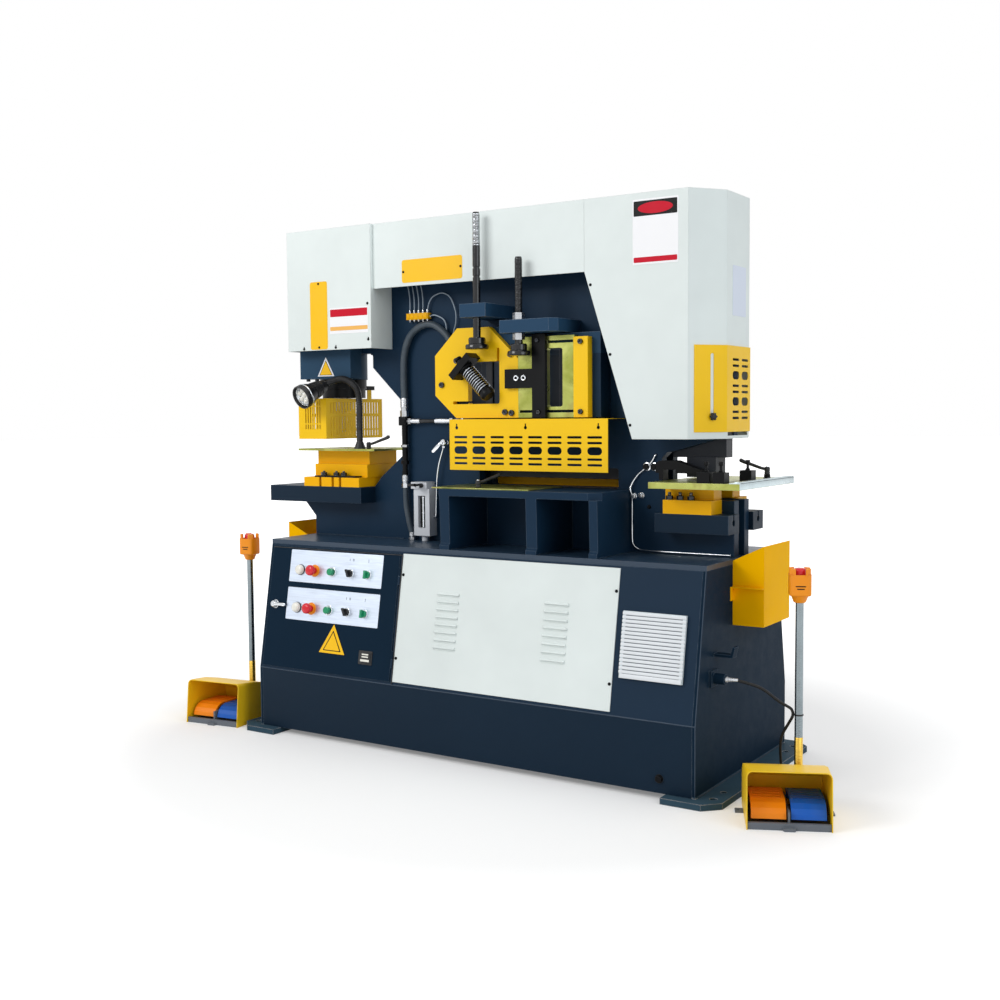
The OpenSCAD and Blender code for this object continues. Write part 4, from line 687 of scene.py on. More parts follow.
for row, v in ROWS.items():
    turned([(0, -20), (10.8, -20), (10.8, FACE + 9), (12.5, FACE + 11), (12.5, FACE + 21),
            (14, FACE + 22.5), (18.4, FACE + 22.5), (20, FACE + 24.5), (20, FACE + 29), (19, FACE + 33),
            (15.5, FACE + 36.2), (9, FACE + 37.8), (0, FACE + 38)], on_front(ELEMENT_X[1], v), 40)
    for k in range(3):
        turn = on_front(ELEMENT_X[1], v, FACE + 36.6) @ at(rz=120 * k)
        slab([(4, 7.5), (-3, 11), (-2.2, 12.2), (4, 9.2), (6.5, 10.5), (5, 5)], 0, 1.3, turn, 0.2, 1)
    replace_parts(piece(f"stop_mushroom_{row}", red_plastic, f"panel_stop_{row}"), f"panel_stop_{row}")

    lathe([(10.8, -20), (10.8, FACE + 6), (13.2, FACE + 7), (13.2, FACE + 16), (12.6, FACE + 17.4),
           (10.8, FACE + 18), (10.2, FACE + 17.2)], on_front(ELEMENT_X[2], v), 36)
    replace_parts(piece(f"start_cap_{row}", green_plastic, f"start_button_{row}"), f"start_button_{row}")

    for colour, x, look in (("black", ELEMENT_X[3], black_plastic), ("green", ELEMENT_X[4], green_plastic)):
        lathe([(10.8, -20), (10.8, FACE + 5), (13.4, FACE + 5.6), (13.4, FACE + 11), (12.4, FACE + 12.2)],
              on_front(x, v), 36)
        fin = [(-4.6, -13), (-2.6, -15), (2.6, -15), (4.6, -13), (3.4, 0), (4.2, 13), (2.4, 15.4),
               (-2.4, 15.4), (-4.2, 13), (-3.4, 0)]
        slab(fin, FACE + 11, FACE + 24, on_front(x, v) @ at(rz=28 if colour == "black" else 0), 1.1)
        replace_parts(piece(f"{colour}_knob_{row}", look, f"{colour}_selector_{row}"),
                    f"{colour}_selector_{row}")

COUNTER = on_front(-391, 84)
slab(rect(62, 50), 3.4, 6.2, COUNTER, 0.8, 2, 3)
slab(rect(50, 40), 6.0, 8.4, COUNTER, 0.6, 2, 1)
piece("counter_frame", black_plastic, "door")
for v, w, h in ((96, 30, 5), (87, 30, 5), (74, 40, 8)):
    slab(rect(w, h), 8.2, 8.9, on_front(-391, v), 0.2, 1, 0.8)
piece("counter_windows", white_plastic, "door")

LATCH = on_front(-850, 245)
lathe([(17, 3.4), (17, 5.2), (15.4, 6.8), (12.6, 7.2), (12.6, 10.5)], LATCH, 36)
piece("latch_rose", chrome, "door")
lathe([(7.8, -18), (7.8, 8), (11.6, 11), (11.6, 18), (9.6, 20.4), (4.4, 20.8), (3.8, 19.4)], LATCH, 32)
slab([(-5, 0), (5, 0), (5, 32), (-5, 32)], -20, -17, LATCH, 0.6)
lever = [(-8, -8.4), (2, -9.2), (12, -6.4), (40, -5.4), (54, -6.6), (59, -4), (60, 0), (59, 4), (54, 6.6),
         (40, 5.4), (12, 6.4), (2, 9.2), (-8, 8.4)]
slab(lever, 13.2, 19.6, LATCH, 2.4, 3)
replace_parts(piece("latch_handle", chrome, "door_latch"), "door_latch")

# ---- slats, louvres, seams, and lips of the base with a painted highlight ---

INLET = (631, 850, 137, 333)
SLATS = 16
pitch = (INLET[3] - INLET[2]) / SLATS
for i in range(SLATS):
    v = INLET[2] + i * pitch
    brick(INLET[0], INLET[1], v + 1.4, v + pitch - 1.2, 9, 13.4, 1.2, FRONT)
brick(INLET[0] + 4, INLET[1] - 4, INLET[2] - 14, INLET[2] + 0.4, 9, 13, 1, FRONT)
piece("inlet_slats", white_paint)
brick(INLET[0] + 6, INLET[1] - 6, INLET[2], INLET[3], 8, 11, 0.5, FRONT)
piece("inlet_back", grey_plastic)

LOUVRE_X, LOUVRE_FOOT = (-96, 339), 148
for x in LOUVRE_X:
    for i in range(8):
        low = LOUVRE_FOOT - 6.3 + 26.5 * i
        brick(x - 0.3, x + 90.3, low, low + 5.6, 1, 2.5, 0.2, FRONT)
piece("louvre_backs", cream)

front_top = (limits("front_frame")[1].z - LEDGE) / math.cos(LEAN)
brick(-266, -262.6, 4, front_top - 14, 3, FACE + 0.6, 0.3, FRONT)
brick(-884, -262.6, front_top - 15.5, front_top - 12.5, 3, FACE + 0.6, 0.3, FRONT)
piece("door_gap", rubber)

# tubes along the front ledge and the corners of the base, in the lighter top navy: rounded bends that carry a
# painted highlight
tube([(-896, -HALF_W + 0.5, LEDGE + 1), (896, -HALF_W + 0.5, LEDGE + 1)], 4.4, n=10)
for x in (-898, 898):
    tube([(x, 0.6 - HALF_W, 22), (x, 0.6 - HALF_W, LEDGE), (x, 0.6 - HALF_TOP, limits("base_top")[0].z)],
         3.6, n=10)
piece("base_edge_highlight_beads", navy_lit_top)

# the machined rail along the right edge of the notching table
table_low, table_high = Vector((673, -250, up(230))), Vector((982, 230, up(250)))
brick(947, table_high.x + 1.4, table_low.y, table_high.y, table_high.z, table_high.z + 2.4, 0.5)
brick(table_high.x, table_high.x + 1.4, table_low.y, table_high.y, table_low.z + 1, table_high.z + 2.4, 0.5)
brick(964, table_high.x + 1, table_low.y + 2, table_high.y - 2, table_high.z + 2, table_high.z + 6, 0.8)
piece("table_rail", rail_steel)

# the sheet behind the plate shear, which keeps hands out from the back
brick(-190, 450, FRAME_Y + 1, FRAME_Y + 4, up(150), up(330), 1)
brick(-190, 450, FRAME_Y + 1, FRAME_Y + 20, up(327), up(330), 1)
piece("rear_guard_sheet", die_yellow)

# ---- screws, nuts and studs ------------------------------------------------

for x, z in ((-128, 1390), (-194, 1305), (77, 1205), (104, 1202), (100, 1406)):
    socket_screw(21, 8, facing(x, -SHEAR_Y, z))
for z in (1439, 1204):
    socket_screw(18, 8, facing(382, limits("shear_guides")[0].y, z))
for x, z in ((218, 1449), (222, 1204)):
    socket_screw(14, 6, facing(x, CLAMP_FACE, z))
shear_screws = piece("shear_screws", dark_steel)
for x in (134, 164):
    socket_screw(20, 6, facing(x, CLAMP_FACE, 1322))
piece("clamp_screws", chrome)
for x in (134, 164):
    rod(5.6, 5.6, 6.3, facing(x, CLAMP_FACE, 1322), 6)
piece("clamp_sockets", black)

STRAP_Z = up(233)
brick(-820, -615, -149, -108, STRAP_Z, STRAP_Z + 6, 1.2)
piece("die_strap", black)
for x in (-790, -727, -690):
    hexagon(21.6, 11, at(x, -126, STRAP_Z + 6), 5.6, 12.5)
    thread(5.6, STRAP_Z - 34, STRAP_Z + 24, 1.75, at(x, -126, 0))
for x in (692, 730, 768):
    hexagon(20.8, 12, at(x, -130, up(188)), 6, 12)
    thread(6.1, up(190), up(213), 1.75, at(x, -130, 0))
piece("die_nuts", dark_steel)

for z in (up(723), up(791)):
    hexagon(36.3, 24, at(RIGHT_SPINDLE, SPINDLE_Y, z), 13.9)
piece("spindle_lock_nuts", steel)

for x, z in ((425, 1623), (498, 1391), (571, 1158)):
    button_screw(10, 3.4, facing(x, -COVER_Y, z))
for x, z in ((-824, 1455), (-665, 1456), (-509, 1614), (-507, 1481)):
    button_screw(10, 3.4, facing(x, -LEFT_Y, z))
for x, v in ((-255, 393), (-255, 96), (598, 394), (598, 99)):
    button_screw(11, 3.6, on_front(x, v, 3))
piece("cover_screws", black)

hexagon(21, 9, facing(779, -HALF_W, 66), 0, 14)
rod(13, 0, 5, at(779, -HALF_W, 66, rx=-90), 28)
piece("drain_plug", black)

HOLD_X = (577, 605)
for x in HOLD_X:
    lathe([(15, 0), (15, 1.4), (13.6, 2.2)], facing(x, -FRAME_Y, 1018), 32)
for x, z in ((529, 918), (557, 921)):
    hexagon(17, 9, facing(x, -FRAME_Y, z), 0, 10.5)
    lathe([(6.4, 8), (6.4, 14), (5, 16)], facing(x, -FRAME_Y, z), 24)
piece("frame_fittings", chrome)
for x in HOLD_X:
    hexagon(19, 10, facing(x, -FRAME_Y - 2, 1018), 0, 11)
button_screw(14, 5, facing(585, -FRAME_Y, 883))
piece("hold_down_bolts", black)

LEVER_FOOT = (930, 120)
lathe([(13, 0), (13, 2.4), (10.6, 3.4), (10.6, 13.4), (9.8, 14)], at(*LEVER_FOOT, up(250)), 32)
for x, y in ((859, -218), (911, -225), (925, -40)):
    thread(4.6, 0, 22, 1.5, at(x, y, up(284)))
    hexagon(13, 6, at(x, y, up(284)), 4.4)
    lathe([(6.2, 21), (7.5, 22.2), (7.5, 31), (6.6, 33), (3.4, 33), (3.4, 28)], at(x, y, up(284)), 24)
piece("table_screws", black)

for v in (60, front_top - 120):
    rod(1.95, 0, 58, on_front(-271, v + 1, FACE) @ at(rx=-90), 16)
piece("hinge_pins", steel)

CORNER_X = 776
run, rise = SIDE_X - CORNER_X, COVER_Y - 62
chamfer = math.degrees(math.atan2(rise, run))
KNOB = at(CORNER_X, -COVER_Y, 1184, rz=chamfer) @ at(0.62 * math.hypot(run, rise)) @ at(rx=90)
thread(3.0, 0.2, 11.8, 1.0, KNOB)
piece("knob_stud", steel)
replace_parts(shear_screws, "fasteners")

part = bmesh.new()
bmesh.ops.create_circle(part, cap_ends=True, segments=48, radius=1)
for v in part.verts:
    v.co *= 11.4 + 2.0 * math.cos(6 * math.atan2(v.co.y, v.co.x))
    v.co.z = 6.2
raised(part, part.faces[:], 15.2, 6.2)
rims = [e for e in part.edges if abs(e.verts[0].co.z - e.verts[1].co.z) < 0.01]
eased(part, rims, 1.3)
merge(part, KNOB)
ring([(3.1, 3.0), (7.4, 3.0), (8.4, 6.4), (3.1, 6.4)], KNOB, 28)
ring([(8.8, 15.0), (8.4, 17.4), (6.8, 18.5), (0, 18.8), (0, 15.0)], KNOB, 28)
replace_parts(piece("star_knob", black_plastic, "guard_knob"), "guard_knob")

# ---- spindles, clamp screw and levers --------------------------------------


def spindle(name, x, low, high, flange, grooves, marks):
    """A clamp spindle: round foot, collar, rod with grooves, and thread between two heights."""
    f, c = flange / 2, flange * 0.36
    rows = [(0, low), (f - 3, low), (f, low + 3), (f, low + 13), (f - 2.5, low + 17), (c + 3, low + 18),
            (c, low + 20), (c, low + 38), (c - 2.5, low + 41), (ROD, low + 41)]
    z0, z1 = marks
    for g in grooves:
        rows += [(ROD, g), (ROD - 2.4, g + 1.5), (ROD - 2.4, g + 6), (ROD, g + 7.5)]
    rows += [(ROD, z0), (ROD - 1.5, z0 + 1), (ROD - 1.5, z1 - 1)]
    rows += [(ROD, z1), (ROD, high - 5)] if z1 < high - 8 else []
    rows += [(ROD - 1.8, high - 4), (ROD - 3, high), (0, high)]
    place = at(x, SPINDLE_Y, 0)
    turned(rows, place, 32)
    turns = (z1 - z0 - 6) / 3
    coil(ROD - 1.5, 2.9, z0 + 3, z1 - 3, turns, place, 12, 4)
    for k in range(2):
        brick(-4.5, 4.5, c - 3, c + 0.8, low + 22, low + 36, 0.8, place @ at(rz=-40 + 180 * k))
    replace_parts(piece(name, gloss_black, name), name)


spindle("left_spindle", LEFT_SPINDLE, up(697), up(1170), 82, (up(945), up(976)), (up(1055), up(1166)))
spindle("right_spindle", RIGHT_SPINDLE, up(669), up(1004), 78, (), (up(800), up(1000)))

ring([(12.1, up(1056)), (12.6, up(1056)), (12.6, up(1058)), (12.1, up(1058))],
     at(LEFT_SPINDLE, SPINDLE_Y, 0))
coil(12.4, 2.2, up(1060), up(1164), 34, at(LEFT_SPINDLE, SPINDLE_Y, 0), 16, 4)
piece("left_spindle_thread", chrome, "left_spindle")
CLAMP = at(-74, -192, up(640), ry=135)
lathe([(13, -40), (14, -39), (14, -33), (12.6, -31), (10.4, -30), (10.4, 18), (22.4, 18.4), (22.4, 127),
       (27, 127.4), (28, 129), (28, 141), (22, 150)], CLAMP, 36)
turned([(10.4, 13.2), (28.4, 13.2), (29.6, 14.6), (29.6, 17), (28, 18.4), (10.4, 18.4)], CLAMP, 36)
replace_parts(piece("angle_clamp_screw", black, "angle_plunger"), "angle_plunger")
# the spring's turns are bright metal, a painted highlight on what is a black spring
coil(25.8, 4.2, 22, 125, 10.5, CLAMP, 24, 12)
piece("angle_clamp_spring", spring_highlight_steel, "angle_plunger")


def clamp_lever(name, x, y, z, length, angle):
    """A cranked clamp lever: serrated hub, capped screw, and a grip that swells to its end."""
    place = at(x, y, z, rz=angle)
    lathe([(8, 0), (9.4, 2), (9.4, 6), (8.4, 8), (9.2, 11), (9.2, 21), (7.4, 24.4)], place, 28)
    arm = smooth([(2, 0, 17), (length * 0.22, 0, 21), (length * 0.5, 0, 25 + length * 0.06),
                  (length * 0.8, 0, 22 + length * 0.2), (length - 4, 0, 20 + length * 0.3)], 6)
    tube(arm, 13.6, place, 14, lambda i: 0.72 + 0.35 * (i / 24) ** 2 if i < 23 else 0.7)
    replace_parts(piece(name, black_plastic, name), name)
    lathe([(5.4, 24), (5.4, 26), (4.4, 27)], place, 24)
    piece(name + "_cap", chrome, name)


clamp_lever("punch_clamp_lever", -571, -118, up(344.3), 90, 15)
clamp_lever("shear_clamp_lever", 20, -250, up(217.3), 80, 40)
clamp_lever("notch_clamp_lever", *LEVER_FOOT, up(264.3), 95, 195)

# ---- punch -----------------------------------------------------------------

PUNCH_X = -788
nut = [(12.6, up(490)), (32, up(490)), (34, up(492)), (34, up(497)), (36, up(499)), (36, up(525)),
       (34, up(527.6)), (30, up(527.6))]
turned([(0, up(777)), (30, up(777)), *reversed(nut), (12.5, up(489)), (12.5, up(452)), (11.2, up(448)),
        (11.2, up(409.5)), (10.4, up(408)), (0, up(408))], at(PUNCH_X, 0, 0), 40)
for k in range(6):
    brick(-4, 4, 33, 36.3, up(502), up(524), 0.8, at(PUNCH_X, 0, 0, rz=60 * k))
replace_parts(piece("punch_and_nut", steel, "punch_ram"), "punch_ram")

for x in (-875, -830, -715, -670):
    socket_screw(16, 9, at(x, -112, up(615), rx=180))
piece("head_screws", dark_steel)

# ---- hoses, pipes and fittings ---------------------------------------------

HOSE_X, HOSE_Y = -425, -FRAME_Y - 20
HOSE = [(-205, up(735)), (-240, up(775)), (-290, up(804)), (-345, up(800)), (-395, up(765)), (-422, up(700)),
        (-427, up(620)), (HOSE_X, up(535))]
DOWN = [(HOSE_X, up(197)), (-422, up(130)), (-408, up(60)), (-395, up(20))]


def ferrule(d, length, place):
    """A crimped hose end: ribbed sleeve and a swivel nut."""
    r = d / 2
    rows = [(0, 0), (r, 0)]
    for i in range(4):
        z = length * (0.08 + 0.11 * i)
        rows += [(r + 2.6, z), (r + 2.6, z + length * 0.07), (r + 1.6, z + length * 0.085)]
    rows += [(r + 1.2, length * 0.56), (r, length * 0.58), (r, length * 0.66), (0, length * 0.66)]
    turned(rows, place, 28)
    hexagon(d + 4.4, length * 0.34, place @ at(z=length * 0.66))


tube(smooth([(x, HOSE_Y, z) for x, z in HOSE], 8), 25, n=22)
tube(smooth([(x, HOSE_Y, z) for x, z in DOWN], 8), 20, n=20)
hose = piece("main_hose", hose_rubber)
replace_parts(hose, "fluid_lines")

ferrule(25, 72, at(HOSE_X, HOSE_Y, up(536), rx=180))
ferrule(21, 50, at(HOSE_X, HOSE_Y, up(246), rx=180))
hexagon(28, 9, at(HOSE_X, HOSE_Y, up(351)))
ferrule(19, 30, at(-395, HOSE_Y, up(30), rx=180))
hexagon(24, 12, facing(-205, -FRAME_Y, up(735)))
lathe([(8.5, 0), (8.5, 16), (11, 18), (11, 30), (8, 32)], facing(-205, -FRAME_Y, up(735)), 28)
piece("hose_ends", steel)

brick(HOSE_X - 17, HOSE_X + 17, HOSE_Y - 17, -FRAME_Y, up(432), up(466), 3)
rod(13, 0, 3, facing(HOSE_X, HOSE_Y - 16.5, up(449)), 32)
lathe([(11, 246), (11, 262), (9.4, 264), (9.4, 298), (11, 300), (11, 434)], at(HOSE_X, HOSE_Y, up(0)), 28)
hexagon(26, 14, at(HOSE_X, HOSE_Y, up(286)))
piece("hose_tee", black)
ACROSS = at(0, HOSE_Y, up(448), ry=90)
tube([(-352, HOSE_Y, up(448)), (-274, HOSE_Y, up(448))], 15, n=18)
piece("cross_hose", rubber)
hexagon(21, 15, ACROSS @ at(z=-408))
lathe([(9, -393), (9, -388), (10.8, -386), (10.8, -352), (9, -350)], ACROSS, 32)
lathe([(9, -281), (10.8, -279), (10.8, -232), (9.6, -230), (9.6, -214)], ACROSS, 32)
hexagon(21, 15, ACROSS @ at(z=-214))
lathe([(8.6, -199), (8.6, -190), (10.6, -188), (10.6, -171)], ACROSS, 32)
hexagon(22, 14, facing(-171, -FRAME_Y, up(448)))
rod(8, 0, 24, facing(-171, -FRAME_Y, up(448)), 28)
piece("cross_fittings", steel)

LUBE_X, LUBE_Y = [-399 + i * 20 for i in range(5)], -FRAME_Y - 12
brick(-409, -309, -FRAME_Y - 24, -FRAME_Y, up(826), up(850), 1.6)
for x in LUBE_X:
    brick(x - 6, x + 6, -FRAME_Y - 25.4, -FRAME_Y - 23, up(830), up(846), 0.8)
piece("lube_manifold", die_yellow)
for x in LUBE_X:
    hexagon(9, 6, at(x, LUBE_Y, up(850)))
    lathe([(3.4, 5), (4, 7), (4, 11), (2.8, 13)], at(x, LUBE_Y, up(850)), 16)
    hexagon(9, 5, at(x, LUBE_Y, up(826), rx=180))
    lathe([(2.4, 0), (3, 2), (1.2, 4)], at(x, LUBE_Y, up(821), rx=180), 16)
hexagon(10, 9, at(-309, LUBE_Y, up(838), ry=90))
hexagon(10, 9, facing(-230, -FRAME_Y, up(700)))
piece("lube_unions", chrome)
for x in LUBE_X[:4]:
    tube(smooth(on_frame((x, 12, 857), (x, 12, 900), (x - 5, 12, 935), (x - 12, 12, 960)), 5), 4.2, n=10)
tube(smooth(on_frame((-319, 12, 857), (-308, 12, 890), (-287, 12, 910), (-249, 12, 918), (-214, 12, 899),
                     (-192, 12, 850), (-190, 12, 810), (-202, 10, 775), (-216, 1, 752)), 6), 4.6, n=10)
tube(smooth(on_frame((-303, 12, 838), (-280, 12, 838), (-240, 12, 815), (-232, 10, 760), (-230, 8, 706),
                     (-230, 4, 700)), 6), 5, n=10)
piece("lube_pipes", nylon_tube)

# a shut-off valve beside the guard, with its lever, and its pipe down to the lube pump
VALVE = facing(-243, -FRAME_Y, up(368))
lathe([(9, 0), (9, 6), (6, 8), (6, 12), (12, 14), (14, 20), (14, 30), (11, 34), (6, 36), (6, 40)],
      VALVE, 28)
hexagon(15, 10, VALVE @ at(0, -10, 24, rx=90))
slab([(-5, -5), (5, -6), (8, -20), (9, -48), (4, -54), (-3, -52), (-6, -22)], 39, 42,
     VALVE @ at(rz=-52), 0.8)
tube(smooth(on_frame((-243, 24, 352), (-252, 22, 330), (-268, 20, 286), (-277, 20, 234), (-282, 20, 150),
                     (-284, 20, 100), (-290, 20, 90), (-300, 20, 88)), 6), 6, n=12)
piece("shut_off_valve", chrome)

# the window of the lube pump, with its level rod
PUMP_X, PUMP_FRONT = -331, -FRAME_Y - 30
brick(PUMP_X - 15.6, PUMP_X + 15.6, PUMP_FRONT - 2, PUMP_FRONT + 1, up(50.4), up(169.6), 0.4)
for z in (62, 92, 122, 152):
    brick(PUMP_X - 12, PUMP_X + 12, PUMP_FRONT - 5, PUMP_FRONT - 1, up(z), up(z + 9), 1)
piece("pump_window", black_plastic)
rod(3.4, 52, 168, at(PUMP_X + 3, PUMP_FRONT - 9, up(0)), 20)
for z in (74, 104, 134, 162):
    hexagon(10, 5, at(PUMP_X + 3, PUMP_FRONT - 9, up(z)))
piece("pump_rod", chrome)

tube(smooth(on_frame((529, 14, 194), (521, 12, 213), (526, 8, 235), (548, 6, 265), (576, 6, 287),
                     (598, 6, 309), (610, 6, 329), (612, -1, 335)), 6), 6, n=12)
tube(smooth(on_frame((529, 14, 187), (527, 10, 169), (526, 8, 141), (526, 8, 53), (530, 8, 29),
                     (546, 8, 14), (580, 8, 9), (700, 8, 8), (880, 8, 8)), 6), 5, n=12)
piece("frame_pipe", chrome)

# ---- work lamp -------------------------------------------------------------

LAMP_FOOT = (-606, -128)
NECK = [(*LAMP_FOOT, up(352)), (-604, -131, up(430)), (-598, -138, up(520)), (-603, -142, up(565)),
        (-628, -146, up(595)), (-668, -148, up(611)), (-712, -150, up(606)), (-748, -158, up(591))]
lathe([(22, 0), (22, 5), (20.6, 7.6), (19.6, 8.4), (18.4, 12), (14.6, 23), (13, 26)],
      at(*LAMP_FOOT, up(344)), 36)
for k in range(3):
    button_screw(4, 1.6, at(*LAMP_FOOT, up(351.6), rz=60 + 120 * k) @ at(20))
neck = smooth(NECK, 16)
tube(neck, 26, n=18, swell=lambda i: 1.0 if i % 2 else 0.88)
lamp = piece("lamp_neck", black_plastic)
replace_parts(lamp, "work_lamp")

HEAD = at(-747, -154, up(592)) @ at(ry=113, rz=-101)
shell = [(0, 0), (14, 0), (15, 2), (22, 13), (24, 15), (24, 18), (26.6, 30), (28, 36)]
for i in range(4):
    z = 38 + i * 9
    shell += [(30 + i * 1.2, z), (30.6 + i * 1.2, z + 5), (27.6 + i * 1.2, z + 6), (28 + i * 1.2, z + 8)]
shell += [(36, 82), (41, 95), (45, 108), (46, 112), (46, 132), (45, 134), (41.6, 134), (40.6, 118),
          (35, 113.4), (0, 113)]
turned(shell, HEAD, 48)
piece("lamp_head", black_plastic)
lathe([(38.6, 113.4), (40.2, 121), (37.6, 123), (35, 116.5)], HEAD, 48)
piece("lamp_reflector", chrome)
turned([(46, 108), (46.6, 109), (46.6, 113), (46, 114)], HEAD, 48)
piece("lamp_trim", chrome)
LENS = [(0, 116), (9.6, 116), (9.6, 119), (7, 122.6), (3.5, 124.4), (0, 125)]
for k in range(6):
    turned(LENS, HEAD @ at(rz=60 * k) @ at(22), 20)
turned(LENS, HEAD, 20)
piece("lamp_lenses", white_plastic)

# ---- plates on the covers --------------------------------------------------


def sign(name, corners, place, look, t=0.8, corner=3):
    """A thin bare plate with rounded corners."""
    x0, x1, z0, z1 = corners
    slab([(x0, z0), (x1, z0), (x1, z1), (x0, z1)], 0, t, place, 0.2, 1, corner)
    piece(name, look)


LEFT_FACE, MAIN_FACE = facing(0, -LEFT_Y, 0), facing(0, -COVER_Y, 0)
sign("left_card", (-790, -704, 1451, 1708), LEFT_FACE, card_yellow, corner=9)
sign("upper_card", (-358, -90, 1679, 1762), MAIN_FACE, card_yellow, corner=9)
for x, z in ((-747, 1459), (-747, 1700)):
    button_screw(9, 3, LEFT_FACE @ at(x, z, 0.8))
for x, z in ((-351, 1719), (-97, 1722)):
    button_screw(9, 3, MAIN_FACE @ at(x, z, 0.8))
piece("card_screws", black)
sign("white_card", (-693, -507, 1507, 1605), LEFT_FACE, label_white)
sign("white_card_head", (-690, -510, 1571, 1599), LEFT_FACE @ at(z=0.6), label_red, t=0.5)
sign("white_card_foot", (-691, -509, 1519, 1534), LEFT_FACE @ at(z=0.6), pale_orange, t=0.5)
sign("placard", (581, 743, 1675, 1884), MAIN_FACE, label_white)
sign("placard_top", (585, 739, 1830, 1878), MAIN_FACE @ at(z=0.6), black, t=0.5)
part = bmesh.new()
bmesh.ops.create_circle(part, cap_ends=True, segments=48, radius=1)
bmesh.ops.scale(part, vec=(62, 18.5, 1), verts=part.verts)
raised(part, part.faces[:], 0.4)
merge(part, MAIN_FACE @ at(662, 1854, 1.1))
piece("placard_oval", label_red)
sign("placard_foot", (585, 739, 1682, 1699), MAIN_FACE @ at(z=0.6), label_red, t=0.5)
SIDE_FACE = at(SIDE_X, 0, 0, rx=90, rz=90)
sign("side_card", (-14, 98, 1511, 1673), SIDE_FACE, label_blue)


def triangle(name, width, place, layers, body=ROOT):
    """A bare triangular plate in layers of colour, each with its inset and its height."""
    h = width * 0.88
    for i, (look, inset, z) in enumerate(layers):
        k = 1 - inset * 4 / width
        corners = [(-width / 2 * k, inset), (width / 2 * k, inset), (0, inset + h * k)]
        slab(corners, z - 0.3 if i else 0, z, place, 0, corner=2)
        piece(f"{name}_{i}", look, body)


triangle("head_triangle", 84, facing(-768, limits("punch_head")[0].y, 1351),
         ((label_white, 0, 0.8), (black, 4.4, 1.1), (card_yellow, 6.2, 1.4)))
triangle("door_triangle", 122, on_front(-550, 84, FACE),
         ((card_yellow, 0, 0.8), (black, 9, 1.1), (card_yellow, 12, 1.4)), "door")

# ---- foot stations ---------------------------------------------------------

BOX_FOOT, BOX_TOP = 641, 707
LUG_FOOT, LUG_TOP = 702, 725
# each station's place and turn, and how far to its right the pole stands
STATIONS = {"right": (1121, -241, 25, 50), "left": (-1145, -203, 8, 0)}
for side, (x, y, turn, pole) in STATIONS.items():
    POLE = at(x, y, 0, rz=turn) @ at(pole, 26, 0)
    slab([(-35, -22), (35, -22), (35, 38), (-35, 38)], 0, 8, POLE, 1.2, 2, 6)
    lathe([(16.4, 7), (16.4, 10), (13.6, 12.6), (12.5, 15), (12.5, 620)], POLE, 32)
    for bolt_x in (-24, 24):
        hexagon(13, 7, POLE @ at(bolt_x, 27, 8), 0, 9)
    post = piece(f"{side}_post", pole_steel)
    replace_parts(post, "stanchions")
    ring([(12.4, 14), (13.0, 14.6), (13.0, 205), (12.4, 206)], POLE)
    piece(f"{side}_post_sleeve", gold)

    part = bmesh.new()
    outline(part, rect(66, 62), BOX_FOOT, 13)
    raised(part, part.faces[:], BOX_TOP, BOX_FOOT)
    sharp = [e for e in part.edges if all(abs(v.co.z - BOX_FOOT) < 0.1 for v in e.verts)]
    eased(part, sharp, 6, 4)
    lid = max(part.faces, key=lambda f: f.calc_center_median().z)
    bmesh.ops.inset_region(part, faces=[lid], thickness=5.5)
    bmesh.ops.translate(part, vec=(0, 0, -13), verts=lid.verts[:])
    merge(part, POLE)
    ring([(13, 619), (17, 620), (19, 622), (26, 640), (28, 643), (13, 643)], POLE, 40)
    for k in range(4):
        part = bmesh.new()
        lug = [(20.5, 15), (32.6, 15), (32.6, 18.5), (19.8, 30.6), (15, 30.6), (15, 20.5)]
        outline(part, lug, LUG_FOOT)
        raised(part, part.faces[:], LUG_TOP, LUG_FOOT)
        tops = [e for e in part.edges if all(v.co.z > LUG_TOP - 1 for v in e.verts)]
        eased(part, tops, 1.6)
        merge(part, POLE @ at(rz=90 * k))
    piece(f"{side}_stop_box", amber_plastic)
    for v, w in ((672, 30), (664, 22)):
        slab(rect(w, 3.2), 0, 0.8, POLE @ at(0, -31, v, rx=90), 0.3, 1)
    piece(f"{side}_stop_marks", black)
    turned([(0, 671), (8, 671), (8, 700), (13, 701), (18.6, 702), (20, 704), (20, 715), (19, 720),
            (15.6, 724), (9, 725.6), (0, 726)], POLE, 40)
    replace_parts(piece(f"{side}_stop_cap", red_plastic, f"{side}_stop_button"), f"{side}_stop_button")

gland = [(0, 3), (10, 3), (10, 5), (8.6, 6), (8.6, 12), (6.4, 18), (5.2, 24), (4.6, 24), (4.6, 5), (0, 5)]
x, y, turn, pole = STATIONS["right"]
turned(gland, at(x, y, 30, rz=turn) @ at(rx=-90), 28)
piece("cable_gland", black_plastic)

ring([(13.2, 0), (14.2, 0.4), (14.2, 4.6), (13.2, 5)], at(x, y, 0, rz=turn) @ at(pole, 26, 272))
piece("pole_tie", black_plastic)

# ---- weld beads ------------------------------------------------------------


def weld(points, size=7.0, step=5.0):
    """A rippled fillet weld along straight runs."""
    for a, b in zip(points, points[1:]):
        a, b = Vector(a), Vector(b)
        n = max(4, int((b - a).length / step) * 2)
        tube([a.lerp(b, i / n) for i in range(n + 1)], size, n=6, swell=lambda i: 1.0 if i % 2 else 0.78)


